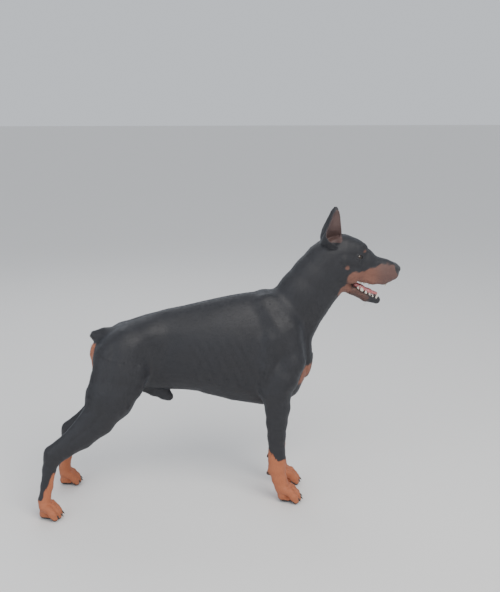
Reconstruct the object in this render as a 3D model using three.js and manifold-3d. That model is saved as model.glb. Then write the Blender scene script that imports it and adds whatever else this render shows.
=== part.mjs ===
// A male doberman pinscher standing stretched, as a life-size still model.
// Millimetres, +X towards the nose, +Y to the dog's left, +Z up, floor at z = 0.
// The whole body is one smooth solid, described by rounded lengths of flesh that
// run along the bones and melt into each other. It is parted into named pieces by
// thin straight cuts.
import * as THREE from "three";
import { mergeVertices } from "three/addons/utils/BufferGeometryUtils.js";
import Module from "manifold-3d";

const wasm = await Module();
wasm.setup();

// ---------------------------------------------------------------- driving sizes
const GAP = 0.3; // width of the cut between two pieces
const ORIGIN = [-259.1, 26.9, 0]; // middle of the footprint, in the sketch frame that starts at the near front toe
const COAT = 0.8; // the solids run out to the tips of the short coat

const FORE = { r: { x: -84, y: -77, s: -1 }, l: { x: -62, y: 60, s: 1 } }; // forearm axis
const FORE_PAW = { r: { x: -58, y: 77 }, l: { x: -36, y: 60 } };
const HIND = {
  r: { s: -1, hip: [-572, 52], thigh: [-585, 66], stifle: [-540, 68], knee: [-606, 88], hock: [-800, 95], foot: [-834, 99] },
  l: { s: 1, hip: [-570, 52], thigh: [-572, 68], stifle: [-536, 72], knee: [-576, 96], hock: [-762, 118], foot: [-790, 152] },
};
const HIND_PAW = { r: { x: -836, y: 99 }, l: { x: -792, y: 152 } };
const HIND_PAW_SCALE = 0.95;
const PAW_TURN = 6; // degrees each paw points outwards
const EYE = { x: 185.5, y: 38.5, z: 813.5, r: 11.5 };

// Trunk profile, from rump to breast: x, back line, belly line, half width, height of the widest level.
const TRUNK = [
  [-650, 576, 500, 26, 545],
  [-630, 586, 462, 44, 530],
  [-600, 596, 430, 60, 520],
  [-560, 613, 408, 70, 520],
  [-500, 633, 392, 76, 525],
  [-440, 650, 386, 80, 525],
  [-380, 661, 382, 88, 520],
  [-320, 673, 372, 97, 512],
  [-260, 685, 358, 102, 505],
  [-200, 695, 342, 103, 502],
  [-150, 700, 330, 100, 505],
  [-100, 698, 326, 94, 512],
  [-60, 684, 332, 88, 515],
  [-25, 655, 348, 78, 510],
  [0, 610, 372, 64, 500],
  [20, 560, 405, 44, 490],
];

// ---------------------------------------------------------------- lengths of flesh
// Each length is a chain of stations: centre x, y, z, radius across the length in
// the side view, half width. "blend" is how softly it melts into what came before,
// "both" mirrors it to the other side, "square" above 2 makes its section boxier.
const flesh = [];
const length = (stations, blend, both = false, square = 2) => flesh.push({ s: stations, k: blend, m: both, e: square });

function body() {
  length([[-40, 0, 622, 84, 62], [14, 0, 688, 86, 62], [56, 0, 742, 82, 58], [90, 0, 786, 76, 55], [112, 0, 806, 64, 52]], 38, true); // neck
  length([[17, 0, 548, 28, 38], [56, 0, 632, 30, 36], [106, 0, 700, 28, 34], [140, 0, 727, 26, 32]], 26, true); // throat
  length([[7, 0, 503, 21, 34], [-12, 0, 440, 23, 38], [-32, 0, 385, 28, 44]], 30, true); // breastbone
  length([[-30, 0, 372, 24, 26], [-120, 0, 347, 23, 30], [-220, 0, 366, 23, 34], [-300, 0, 391, 20, 36]], 24, true); // keel
  length([[-112, 40, 660, 36, 22], [-62, 70, 578, 50, 30], [-35, 79, 488, 41, 34]], 32, true); // shoulder blade
  length([[-36, 79, 476, 35, 34], [-62, 86, 428, 46, 36], [-90, 86, 378, 42, 32]], 24, true); // upper arm
  length([[-108, 78, 555, 30, 26], [-120, 84, 470, 36, 28], [-112, 86, 392, 26, 24]], 24, true); // triceps
  length([[-490, 34, 578, 38, 36], [-560, 42, 552, 46, 40], [-620, 40, 515, 44, 38]], 36, true); // croup
  length([[-588, 0, 571, 25, 24], [-632, 0, 574, 22, 20], [-660, 0, 573, 16.5, 15]], 16, true); // docked tail
  length([[-530, 0, 404, 18, 20], [-478, 0, 382, 19, 17], [-442, 0, 366, 19, 14], [-430, 0, 357, 14, 11]], 12, true); // sheath
  length([[-606, 0, 545, 30, 32], [-643, 0, 514, 35, 33], [-642, 0, 476, 33, 38]], 26, true); // under the tail
}

function foreleg({ x, y: yc, s }) {
  const y = Math.abs(yc);
  length([
    [x, s * (y + 2), 370, 45, 34], [x + 2, s * (y + 4), 330, 41, 31], [x, s * (y + 3), 280, 34.5, 27],
    [x, s * (y + 1), 230, 29.5, 23], [x + 1, yc, 180, 26.5, 21], [x + 2, yc, 150, 28.5, 24], [x + 2, yc, 118, 27.5, 22],
  ], 18); // forearm
  length([[x + 2, yc, 118, 26.5, 21], [x + 10, yc, 80, 24, 21], [x + 19, yc, 52, 23, 24], [x + 24, yc, 33, 21, 23]], 12); // pastern
  length([[x - 16, yc, 112, 9, 8], [x - 26, yc, 103, 8, 7]], 7); // pad behind the wrist
}

function hindleg({ s, hip, thigh, stifle, knee, hock, foot }) {
  length([
    [hip[0], s * hip[1], 528, 60, 36], [thigh[0] + 3, s * thigh[1], 495, 80, 42],
    [thigh[0] - 8, s * (thigh[1] + 10), 450, 82, 43], [knee[0] - 16, s * (knee[1] - 4), 398, 72, 41],
  ], 30); // thigh
  length([[stifle[0], s * stifle[1], 470, 30, 32], [stifle[0] - 18, s * (stifle[1] + 12), 410, 25, 33], [stifle[0] - 50, s * (stifle[1] + 18), 366, 32, 34]], 30);
  const dx = hock[0] - knee[0], dy = hock[1] - knee[1];
  length([
    [knee[0] - 12, s * knee[1], 385, 65, 40], [knee[0] + dx * 0.27 - 1, s * (knee[1] + dy * 0.3), 321, 54, 33],
    [knee[0] + dx * 0.57 + 3, s * (knee[1] + dy * 0.6), 268, 41, 26], [knee[0] + dx * 0.84 + 1, s * (knee[1] + dy * 0.85), 230, 31, 21],
    [hock[0], s * hock[1], 205, 29, 21],
  ], 22); // lower thigh
  length([[knee[0] + dx * 0.42, s * (knee[1] + dy * 0.5), 338, 17, 14], [knee[0] + dx * 0.78, s * (knee[1] + dy * 0.8), 266, 13, 10], [hock[0] - 10, s * hock[1], 226, 14, 12]], 14); // heel tendon
  length([
    [hock[0] - 4, s * hock[1], 214, 25, 20], [hock[0] * 0.7 + foot[0] * 0.3 - 6, s * (hock[1] * 0.7 + foot[1] * 0.3), 165, 21, 18],
    [hock[0] * 0.35 + foot[0] * 0.65 - 4, s * (hock[1] * 0.35 + foot[1] * 0.65), 110, 19, 16.5],
    [foot[0] - 2, s * foot[1], 62, 19, 18], [foot[0], s * foot[1], 44, 19.5, 22], [foot[0] + 2, s * foot[1], 30, 19, 22],
  ], 14); // rear pastern
}

// The toes of one paw, outer to inner: sideways offset and how far each lies back.
const TOES = [[-25, -9], [-9.5, 0], [9.5, 0], [25, -9]];
const TOE_SPREAD = 1.12;
const pawPoint = (paw, s, scale, turn, dx, dy, z) => {
  const c = Math.cos(turn * Math.PI / 180), n = Math.sin(turn * Math.PI / 180);
  return [paw.x + scale * (dx * c - dy * n), s * (paw.y + scale * (dx * n + dy * c)), z * scale];
};
function pawFlesh(paw, s, scale, turn) {
  const at = (dx, dy, z) => pawPoint(paw, s, scale, turn, dx, dy, z);
  for (const [dy, back] of TOES)
    length([
      [...at(2 + back * 0.4, dy * 0.72, 47), 13 * scale, 11 * scale], [...at(27 + back, dy * 0.96, 41), 12.5 * scale, 10.5 * scale],
      [...at(41 + back, dy * TOE_SPREAD, 24), 11.5 * scale, 10 * scale], [...at(46 + back, dy * TOE_SPREAD, 12), 11 * scale, 9.5 * scale],
    ], 6);
  length([[...at(-5, 0, 15), 14 * scale, 18 * scale], [...at(16, 0, 12), 12.5 * scale, 20 * scale]], 12); // pads
}

function headFlesh() {
  length([[104, 0, 824, 46, 48], [140, 0, 832, 49, 54], [172, 0, 824, 46, 48], [204, 0, 804, 40, 38]], 20, true, 2.4); // skull
  length([[192, 0, 775, 46, 40], [234, 0, 768, 44, 34], [276, 0, 761, 39, 30.5], [302, 0, 759, 31.5, 26]], 16, true, 2.5); // muzzle
  length([[200, 24, 743, 14, 10], [240, 21.5, 733, 13, 10.5], [276, 17.5, 731, 13, 11], [296, 12, 737, 12, 11.5]], 9, true); // upper lips
  length([[128, 42, 770, 34, 14], [166, 38, 758, 32, 13]], 16, true); // cheek
  length([[138, 50, 806, 13, 9], [186, 38, 796, 11, 8]], 12, true); // cheekbone
  length([[168, 30, 848, 12, 11], [205, 22, 841, 13, 11]], 10, true); // brow
  length([[317, 0, 770, 13, 16], [328, 0, 766, 11, 14.5]], 6, true); // nose
  length([[136, 0, 722, 24, 36], [176, 0, 701, 17, 28], [222, 0, 675, 15.5, 22], [259, 0, 663, 13.5, 18]], 9, true); // lower jaw
}

body();
foreleg(FORE.r);
foreleg(FORE.l);
hindleg(HIND.r);
hindleg(HIND.l);
pawFlesh(FORE_PAW.r, -1, 1, PAW_TURN);
pawFlesh(FORE_PAW.l, 1, 1, PAW_TURN);
pawFlesh(HIND_PAW.r, -1, HIND_PAW_SCALE, PAW_TURN);
pawFlesh(HIND_PAW.l, 1, HIND_PAW_SCALE, PAW_TURN + 2);
headFlesh();

// ---------------------------------------------------------------- the solid as a distance
const soft = (a, b, k) => {
  const h = Math.max(k - Math.abs(a - b), 0) / k;
  return Math.min(a, b) - h * h * k * 0.25;
};
// Distance to an ellipsoid-like section: u across, v sideways, s past the end.
function section(u, v, s, a, b, n) {
  const pu = Math.abs(u) / a, pv = Math.abs(v) / b, ps = Math.abs(s) / a;
  const r = Math.max(Math.pow(pu ** n + pv ** n + ps ** n, 1 / n), 1e-6);
  const g = Math.hypot(pu ** (n - 1) / a, pv ** (n - 1) / b, ps ** (n - 1) / a) * r ** (1 - n);
  return (r - 1) / Math.max(g, 1e-6);
}
function lengthDistance({ s: st, m, e }, x, y, z) {
  if (m) y = Math.abs(y);
  let d = null;
  for (let i = 0; i + 1 < st.length; i++) {
    const A = st[i], B = st[i + 1];
    const ax = B[0] - A[0], ay = B[1] - A[1], az = B[2] - A[2];
    const t = ((x - A[0]) * ax + (y - A[1]) * ay + (z - A[2]) * az) / (ax * ax + ay * ay + az * az);
    const c = Math.min(Math.max(t, 0), 1);
    const dx = x - A[0] - ax * c, dz = z - A[2] - az * c, L = Math.hypot(ax, az);
    const u = (-dx * az + dz * ax) / L, past = t > 0 && t < 1 ? 0 : (dx * ax + dz * az) / L;
    const one = section(u, y - A[1] - ay * c, past, A[3] + (B[3] - A[3]) * c, A[4] + (B[4] - A[4]) * c, e);
    d = d === null ? one : soft(d, one, 8);
  }
  return d;
}
// Slopes of the trunk profile at its stations, for a smooth curve through them.
const slopes = TRUNK.map((row, i) => {
  if (i === 0 || i === TRUNK.length - 1) {
    const a = i ? i - 1 : 0;
    return row.map((_, c) => (TRUNK[a + 1][c] - TRUNK[a][c]) / (TRUNK[a + 1][0] - TRUNK[a][0]));
  }
  const h0 = row[0] - TRUNK[i - 1][0], h1 = TRUNK[i + 1][0] - row[0];
  return row.map((v, c) => (h0 * h0 * TRUNK[i + 1][c] + (h1 * h1 - h0 * h0) * v - h1 * h1 * TRUNK[i - 1][c]) / (h0 * h1 * (h0 + h1)));
});
function trunkDistance(x, y, z) {
  const last = TRUNK.length - 1;
  const xc = Math.min(Math.max(x, TRUNK[0][0]), TRUNK[last][0]);
  let i = 0;
  while (i < last - 1 && TRUNK[i + 1][0] <= xc) i++;
  const h = TRUNK[i + 1][0] - TRUNK[i][0], t = (xc - TRUNK[i][0]) / h;
  const [top, low, wide, mid] = [1, 2, 3, 4].map((c) =>
    (2 * t ** 3 - 3 * t ** 2 + 1) * TRUNK[i][c] + (t ** 3 - 2 * t ** 2 + t) * h * slopes[i][c] +
    (-2 * t ** 3 + 3 * t ** 2) * TRUNK[i + 1][c] + (t ** 3 - t ** 2) * h * slopes[i + 1][c]);
  const half = z > mid ? top - mid : mid - low;
  return section(z - mid, y, (x - xc) * 3, half, wide, 2);
}
const reach = flesh.map(({ s, k }) => {
  const r = Math.max(...s.map((p) => Math.max(p[3], p[4]))) + k + 12;
  return [0, 1, 2].map((i) => [Math.min(...s.map((p) => p[i])) - r, Math.max(...s.map((p) => p[i])) + r]);
});
function distance(x, y, z) {
  let d = trunkDistance(x, y, z);
  flesh.forEach((f, i) => {
    const q = f.m ? Math.abs(y) : y, b = reach[i];
    if (x > b[0][0] && x < b[0][1] && q > b[1][0] && q < b[1][1] && z > b[2][0] && z < b[2][1])
      d = soft(d, lengthDistance(f, x, y, z), f.k);
  });
  return d - COAT;
}

// ---------------------------------------------------------------- meshing
const solidOf = (positions, triangles) => {
  const g = new THREE.BufferGeometry();
  g.setAttribute("position", new THREE.BufferAttribute(new Float32Array(positions), 3));
  g.setIndex(triangles);
  return solidFrom(g);
};
function solidFrom(geometry) {
  const g = geometry.clone();
  g.deleteAttribute("normal");
  g.deleteAttribute("uv");
  const m = mergeVertices(g, 1e-4);
  return new wasm.Manifold(new wasm.Mesh({ numProp: 3, vertProperties: m.attributes.position.array, triVerts: new Uint32Array(m.index.array) }));
}
// Thins a closed mesh: the edges whose loss changes the shape least are drawn together,
// until the wanted number of facets is left.
function thin(P, T, wanted) {
  const count = P.length / 3, at = (v) => [P[3 * v], P[3 * v + 1], P[3 * v + 2]];
  const faces = [], around = Array.from({ length: count }, () => new Set()), Q = Array.from({ length: count }, () => new Float64Array(10));
  const normal = (a, b, c) => {
    const u = b.map((w, i) => w - a[i]), v = c.map((w, i) => w - a[i]);
    return [u[1] * v[2] - u[2] * v[1], u[2] * v[0] - u[0] * v[2], u[0] * v[1] - u[1] * v[0]];
  };
  for (let i = 0; i < T.length; i += 3) {
    const f = [T[i], T[i + 1], T[i + 2]];
    if (f[0] === f[1] || f[1] === f[2] || f[0] === f[2]) continue;
    const n = normal(at(f[0]), at(f[1]), at(f[2])), area = Math.hypot(...n) || 1e-9;
    const [a, b, c] = n.map((w) => w / area), d = -(a * P[3 * f[0]] + b * P[3 * f[0] + 1] + c * P[3 * f[0] + 2]);
    const q = [a * a, a * b, a * c, a * d, b * b, b * c, b * d, c * c, c * d, d * d];
    for (const v of f) {
      around[v].add(faces.length);
      for (let k = 0; k < 10; k++) Q[v][k] += q[k] * area;
    }
    faces.push(f);
  }
  const error = (q, [x, y, z]) =>
    q[0] * x * x + 2 * q[1] * x * y + 2 * q[2] * x * z + 2 * q[3] * x + q[4] * y * y + 2 * q[5] * y * z + 2 * q[6] * y + q[7] * z * z + 2 * q[8] * z + q[9];
  const stamp = new Int32Array(count), heap = [];
  const swap = (i, j) => ([heap[i], heap[j]] = [heap[j], heap[i]]);
  const push = (e) => {
    heap.push(e);
    for (let i = heap.length - 1, p; i && heap[(p = (i - 1) >> 1)].cost > heap[i].cost; i = p) swap(i, p);
  };
  const pop = () => {
    const top = heap[0], end = heap.pop();
    if (heap.length) {
      heap[0] = end;
      for (let i = 0; ;) {
        let m = i;
        for (const c of [2 * i + 1, 2 * i + 2]) if (c < heap.length && heap[c].cost < heap[m].cost) m = c;
        if (m === i) break;
        swap(i, m);
        i = m;
      }
    }
    return top;
  };
  const consider = (u, v) => {
    const q = Q[u].map((w, k) => w + Q[v][k]), pu = at(u), pv = at(v);
    const mid = pu.map((w, i) => (w + pv[i]) / 2), long = Math.hypot(...pu.map((w, i) => w - pv[i]));
    const spots = [pu, pv, mid];
    const [a, b, c, d, e, f, g, h, k] = q;
    const det = a * (e * h - f * f) - b * (b * h - f * c) + c * (b * f - e * c);
    if (Math.abs(det) > 1e-3 * (a + e + h) ** 3) {
      const r = [-d, -g, -k];
      const best = [
        (r[0] * (e * h - f * f) - b * (r[1] * h - f * r[2]) + c * (r[1] * f - e * r[2])) / det,
        (a * (r[1] * h - f * r[2]) - r[0] * (b * h - f * c) + c * (b * r[2] - r[1] * c)) / det,
        (a * (e * r[2] - r[1] * f) - b * (b * r[2] - r[1] * c) + r[0] * (b * f - e * c)) / det,
      ];
      if (Math.hypot(...best.map((w, i) => w - mid[i])) < long) spots.unshift(best);
    }
    let to = spots[0], cost = Infinity;
    for (const p of spots) {
      const w = error(q, p);
      if (w < cost - 1e-9) [to, cost] = [p, w];
    }
    push({ u, v, to, cost: cost + long * long * 0.02, su: stamp[u], sv: stamp[v] });
  };
  const alive = new Uint8Array(faces.length).fill(1);
  faces.forEach(([a, b, c]) => [[a, b], [b, c], [c, a]].forEach(([u, v]) => u < v && consider(u, v)));
  let left = faces.length;
  while (left > wanted && heap.length) {
    const { u, v, to, su, sv } = pop();
    if (stamp[u] !== su || stamp[v] !== sv) continue;
    const nu = new Set(), nv = new Set();
    for (const f of around[u]) for (const w of faces[f]) nu.add(w);
    for (const f of around[v]) for (const w of faces[f]) nv.add(w);
    let shared = 0;
    for (const w of nu) if (w !== u && w !== v && nv.has(w)) shared++;
    const both = [...around[u]].filter((f) => around[v].has(f));
    if (shared !== 2 || both.length !== 2) continue;
    let fine = true;
    for (const w of [u, v])
      for (const f of around[w]) {
        if (both.includes(f)) continue;
        const now = faces[f].map(at), next = faces[f].map((x, i) => (x === w ? to : now[i]));
        const n0 = normal(...now), n1 = normal(...next);
        const l0 = Math.hypot(...n0), l1 = Math.hypot(...n1);
        const sides = [0, 1, 2].map((i) => Math.hypot(...next[i].map((q, k) => q - next[(i + 1) % 3][k])));
        if (l1 < 0.12 * Math.max(...sides) ** 2 || n0[0] * n1[0] + n0[1] * n1[1] + n0[2] * n1[2] < 0.35 * l0 * l1) fine = false;
      }
    if (!fine) continue;
    for (const f of both) {
      alive[f] = 0;
      left--;
      for (const w of faces[f]) around[w].delete(f);
    }
    for (const f of around[v]) {
      faces[f] = faces[f].map((w) => (w === v ? u : w));
      around[u].add(f);
    }
    around[v] = new Set();
    for (let k = 0; k < 10; k++) Q[u][k] += Q[v][k];
    for (let k = 0; k < 3; k++) P[3 * u + k] = to[k];
    stamp[v] = -1;
    stamp[u]++;
    const ring = new Set();
    for (const f of around[u]) for (const w of faces[f]) if (w !== u) ring.add(w);
    for (const w of ring) consider(u, w);
  }
  return [P, faces.filter((_, i) => alive[i]).flat()];
}
// One closed mesh of the surface where f is 0, inside a box, on cells of the given size.
// Its corners are slid onto the true surface afterwards.
function surface(f, low, high, cell, keep = 1) {
  const n = [0, 1, 2].map((i) => Math.ceil((high[i] - low[i]) / cell[i]) + 1);
  const at = (i, j, k) => (i * n[1] + j) * n[2] + k;
  const D = new Float64Array(n[0] * n[1] * n[2]).fill(1);
  for (let i = 1; i < n[0] - 1; i++)
    for (let j = 1; j < n[1] - 1; j++)
      for (let k = 1; k < n[2] - 1; k++)
        D[at(i, j, k)] = f(low[0] + i * cell[0], low[1] + j * cell[1], low[2] + k * cell[2]) || 1e-6;
  // where two bulges only just touch they are joined, so that no edge has four facets
  for (let pass = 0, changed = true; changed && pass < 10; pass++) {
    changed = false;
    for (let a = 0; a < 3; a++) {
      const s = [n[1] * n[2], n[2], 1], b = s[(a + 1) % 3], c = s[(a + 2) % 3];
      for (let i = 1; i < n[0] - 2; i++)
        for (let j = 1; j < n[1] - 2; j++)
          for (let k = 1; k < n[2] - 2; k++) {
            const o = at(i, j, k), q = [o, o + b, o + b + c, o + c], inside = q.map((w) => D[w] < 0);
            if (inside[0] !== inside[2] || inside[1] !== inside[3] || inside[0] === inside[1]) continue;
            const [u, v] = inside[0] ? [q[1], q[3]] : [q[0], q[2]];
            D[D[u] < D[v] ? u : v] = -1e-3;
            changed = true;
          }
    }
  }
  const id = new Int32Array(D.length).fill(-1), P = [], T = [];
  for (let i = 0; i < n[0] - 1; i++)
    for (let j = 0; j < n[1] - 1; j++)
      for (let k = 0; k < n[2] - 1; k++) {
        let count = 0;
        const sum = [0, 0, 0];
        for (let a = 0; a < 3; a++)
          for (let o = 0; o < 4; o++) {
            const p = [0, 0, 0];
            p[(a + 1) % 3] = o & 1;
            p[(a + 2) % 3] = o >> 1;
            const q = p.slice();
            q[a] = 1;
            const d0 = D[at(i + p[0], j + p[1], k + p[2])], d1 = D[at(i + q[0], j + q[1], k + q[2])];
            if (d0 < 0 !== d1 < 0) {
              const t = d0 / (d0 - d1);
              for (let c = 0; c < 3; c++) sum[c] += p[c] + (c === a ? t : 0);
              count++;
            }
          }
        if (!count) continue;
        id[at(i, j, k)] = P.length / 3;
        let v = [i, j, k].map((w, c) => low[c] + (w + sum[c] / count) * cell[c]);
        const inner = i > 1 && j > 1 && k > 1 && i < n[0] - 3 && j < n[1] - 3 && k < n[2] - 3;
        const most = Math.min(...cell) * 0.45;
        if (inner)
          for (let step = 0; step < 3; step++) {
            const d = f(...v), h = 0.5;
            const g = [f(v[0] + h, v[1], v[2]) - f(v[0] - h, v[1], v[2]), f(v[0], v[1] + h, v[2]) - f(v[0], v[1] - h, v[2]), f(v[0], v[1], v[2] + h) - f(v[0], v[1], v[2] - h)].map((w) => w / (2 * h));
            const L = Math.max(Math.hypot(...g), 0.3);
            const move = Math.min(Math.max(-d / L, -most), most) * 0.8;
            v = v.map((w, c) => w + (g[c] / L) * move);
          }
        P.push(...v);
      }
  for (let a = 0; a < 3; a++) {
    const b = (a + 1) % 3, c = (a + 2) % 3;
    for (let i = 0; i < n[0]; i++)
      for (let j = 0; j < n[1]; j++)
        for (let k = 0; k < n[2]; k++) {
          const p = [i, j, k];
          if (p[a] >= n[a] - 1 || p[b] < 1 || p[c] < 1 || p[b] >= n[b] - 1 || p[c] >= n[c] - 1) continue;
          const q = p.slice();
          q[a]++;
          const s0 = D[at(...p)] < 0, s1 = D[at(...q)] < 0;
          if (s0 === s1) continue;
          const cellAt = (o1, o2) => {
            const r = p.slice();
            r[b] -= o1;
            r[c] -= o2;
            return id[at(...r)];
          };
          const quad = [cellAt(1, 1), cellAt(0, 1), cellAt(0, 0), cellAt(1, 0)];
          if (!s0) quad.reverse();
          // the shorter diagonal keeps the facets even
          const gap = (m, o) => Math.hypot(...[0, 1, 2].map((w) => P[quad[m] * 3 + w] - P[quad[o] * 3 + w]));
          if (gap(0, 2) <= gap(1, 3)) T.push(quad[0], quad[1], quad[2], quad[0], quad[2], quad[3]);
          else T.push(quad[0], quad[1], quad[3], quad[1], quad[2], quad[3]);
        }
  }
  return solidOf(...(keep < 1 ? thin(P, T, (T.length / 3) * keep) : [P, T]));
}

// The same solid without the tiny edges that a cut leaves.
function tidy(solid, least = 0.12) {
  const m = solid.getMesh(), P = Array.from(m.vertProperties);
  let T = [];
  for (let i = 0; i < m.triVerts.length; i += 3) T.push([m.triVerts[i], m.triVerts[i + 1], m.triVerts[i + 2]]);
  for (let again = true, round = 0; again && round < 400; round++) {
    again = false;
    const ring = new Map();
    for (const f of T) for (const v of f) ring.set(v, (ring.get(v) || new Set()).add(f[0]).add(f[1]).add(f[2]));
    for (const [a, b] of T.flatMap(([x, y, z]) => [[x, y], [y, z], [z, x]])) {
      const d = Math.hypot(...[0, 1, 2].map((k) => P[3 * a + k] - P[3 * b + k]));
      if (a > b || d >= least) continue;
      if ([...ring.get(a)].filter((w) => w !== a && w !== b && ring.get(b).has(w)).length !== 2) continue;
      T = T.map((f) => f.map((w) => (w === b ? a : w))).filter((f) => f[0] !== f[1] && f[1] !== f[2] && f[0] !== f[2]);
      again = true;
      break;
    }
  }
  return solidOf(P, T.flat());
}
// The same solid with every corner moved outwards, to leave a gap around it.
function grown(solid, by) {
  const m = solid.getMesh();
  const g = new THREE.BufferGeometry();
  g.setAttribute("position", new THREE.BufferAttribute(new Float32Array(m.vertProperties), 3));
  g.setIndex(new THREE.BufferAttribute(new Uint32Array(m.triVerts), 1));
  g.computeVertexNormals();
  const p = g.attributes.position.array, n = g.attributes.normal.array;
  return solidOf(Array.from(p, (v, i) => v + n[i] * by), Array.from(m.triVerts));
}

// ---------------------------------------------------------------- cutting
// A prism over a polygon in the side view (x, z), between two sideways levels, drawn in by "inset".
function prism(points, y0, y1, inset = GAP / 2) {
  let p = points.map(([x, z]) => new THREE.Vector2(x, z));
  if (THREE.ShapeUtils.isClockWise(p)) p = p.reverse();
  const moved = p.map((q, i) => {
    const before = p[(i + p.length - 1) % p.length], after = p[(i + 1) % p.length];
    const e0 = q.clone().sub(before).normalize(), e1 = after.clone().sub(q).normalize();
    const n0 = new THREE.Vector2(-e0.y, e0.x), n1 = new THREE.Vector2(-e1.y, e1.x);
    const m = n0.clone().add(n1);
    return q.clone().add(m.multiplyScalar(inset / (1 + n0.dot(n1))));
  });
  const g = new THREE.ExtrudeGeometry(new THREE.Shape(moved), { depth: y1 - y0 - 2 * inset, bevelEnabled: false });
  g.rotateX(Math.PI / 2).translate(0, y1 - inset, 0);
  return solidFrom(g);
}
const box = (x0, x1, y0, y1, z0, z1, inset) => prism([[x0, z0], [x1, z0], [x1, z1], [x0, z1]], y0, y1, inset);

const FAR = 260; // beyond the dog on either side
const CHEST_FLOOR = 316, ARM_CUT = 388, RIB_SIDE = 38;
const WRIST_CUT = 134, FORE_PAW_CUT = 63, HIND_PAW_CUT = 57;
const NECK_BASE = [[-98, 730], [66, 520]];
const NECK_HEAD = [[38, 910], [146, 664]];
const JAW_LINE = [[150, 640], [164, 690], [180, 721], [330, 706]];
const RUMP_LINE = [[-486, 366], [-612, 530]];
const TAIL_CUT = -612;
const KNEE_LINE = [[-486, 352], [-780, 394]];
const HOCK_LINE = [[-700, 176], [-900, 192]];

const foreBoxes = (side, inset) => {
  const s = side === "r" ? -1 : 1;
  const y = (a, b) => (s < 0 ? [-b, -a] : [a, b]);
  return box(-190, 40, ...y(0, FAR), -20, CHEST_FLOOR, inset)
    .add(box(-190, 10, ...y(RIB_SIDE, FAR), CHEST_FLOOR - 1, ARM_CUT, inset));
};

const nodes = [];
const colours = { black: 0x23252b, rust: 0x9a5a3a, nose: 0x17181b, tongue: 0xb96a70, eye: 0x3a2414, claw: 0x1c1a19 };
function piece(name, solid, colour, roughness) {
  const m = tidy(solid).getMesh();
  const g = new THREE.BufferGeometry();
  g.setAttribute("position", new THREE.BufferAttribute(new Float32Array(m.vertProperties), 3));
  g.setIndex(new THREE.BufferAttribute(new Uint32Array(m.triVerts), 1));
  g.computeVertexNormals();
  const mesh = new THREE.Mesh(g, new THREE.MeshStandardMaterial({ color: colours[colour], roughness, metalness: 0 }));
  mesh.name = name;
  nodes.push(mesh);
}
const region = (low, high, cell, keep) => surface(distance, low, high, cell, keep);

// trunk with the shoulders, loin and croup
const trunkRegion = prism([
  NECK_BASE[0], NECK_BASE[1], [90, 500], [90, 250], [-486, 250], RUMP_LINE[0], RUMP_LINE[1], [TAIL_CUT, 547], [TAIL_CUT, 700], [-300, 760],
], -FAR, FAR).subtract(foreBoxes("r", -GAP / 2)).subtract(foreBoxes("l", -GAP / 2));
piece("trunk", region([-680, -152, 270], [110, 152, 800], [18, 14, 15], 0.14).intersect(trunkRegion), "black", 0.45);

// neck
const neckRegion = prism([NECK_BASE[1], NECK_BASE[0], [-98, 940], NECK_HEAD[0], NECK_HEAD[1], [146, 560]], -FAR, FAR);
piece("neck", region([-140, -120, 480], [200, 120, 920], [13, 12, 13], 0.17).intersect(neckRegion), "black", 0.45);

// head, with the teeth of the upper jaw, and the lower jaw with its own
const eyeBall = (s, grow = 0) => {
  const g = new THREE.SphereGeometry(EYE.r + grow, 12, 8);
  g.rotateX(Math.PI / 2).rotateZ(0.3).translate(EYE.x, s * EYE.y, EYE.z);
  return solidFrom(g);
};
// A tooth: a short cone from its root along its direction.
function tooth(x, y, z, high, wide, down, lean = 0) {
  const g = new THREE.ConeGeometry(wide, high, 6);
  g.translate(0, high / 2, 0).rotateX(Math.PI / 2);
  if (down) g.rotateX(Math.PI);
  g.rotateY(lean).translate(x, y, z);
  return solidFrom(g);
}
const upperTeeth = [], lowerTeeth = [];
for (const s of [-1, 1]) {
  upperTeeth.push(tooth(286, s * 17, 732, 20, 4.6, true));
  lowerTeeth.push(tooth(260, s * 13.5, 668, 24, 4.6, false, 0.18));
  for (let i = 0; i < 3; i++) {
    upperTeeth.push(tooth(270 - 14 * i, s * (20 + 0.8 * i), 728, 10, 4.5, true));
    lowerTeeth.push(tooth(238 - 14 * i, s * (16.5 + 1.4 * i), 677 + 8.5 * i, 11, 4.5, false));
  }
}
const noseRegion = prism([[309, 800], [314, 764], [323, 750], [360, 746], [360, 800]], -40, 40);
const headMesh = surface(distance, [20, -96, 660], [365, 96, 930], [6, 6, 6], 0.105);
const headRegion = prism([NECK_HEAD[1], NECK_HEAD[0], [38, 960], [400, 960], [400, 706], ...JAW_LINE.slice().reverse()], -FAR, FAR);
let head = headMesh.intersect(headRegion).subtract(prism([[309, 800], [314, 764], [323, 750], [360, 746], [360, 800]], -40, 40, -GAP / 2));
for (const s of [-1, 1]) head = head.subtract(eyeBall(s, GAP));
for (const t of upperTeeth) head = head.add(t);
piece("head", head, "black", 0.45);
piece("nose", surface(distance, [290, -36, 728], [360, 36, 802], [4.6, 4.6, 4.6], 0.16).intersect(noseRegion), "nose", 0.3);
for (const [side, s] of [["r", -1], ["l", 1]]) piece("eye_" + side, eyeBall(s), "eye", 0.1);

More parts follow.
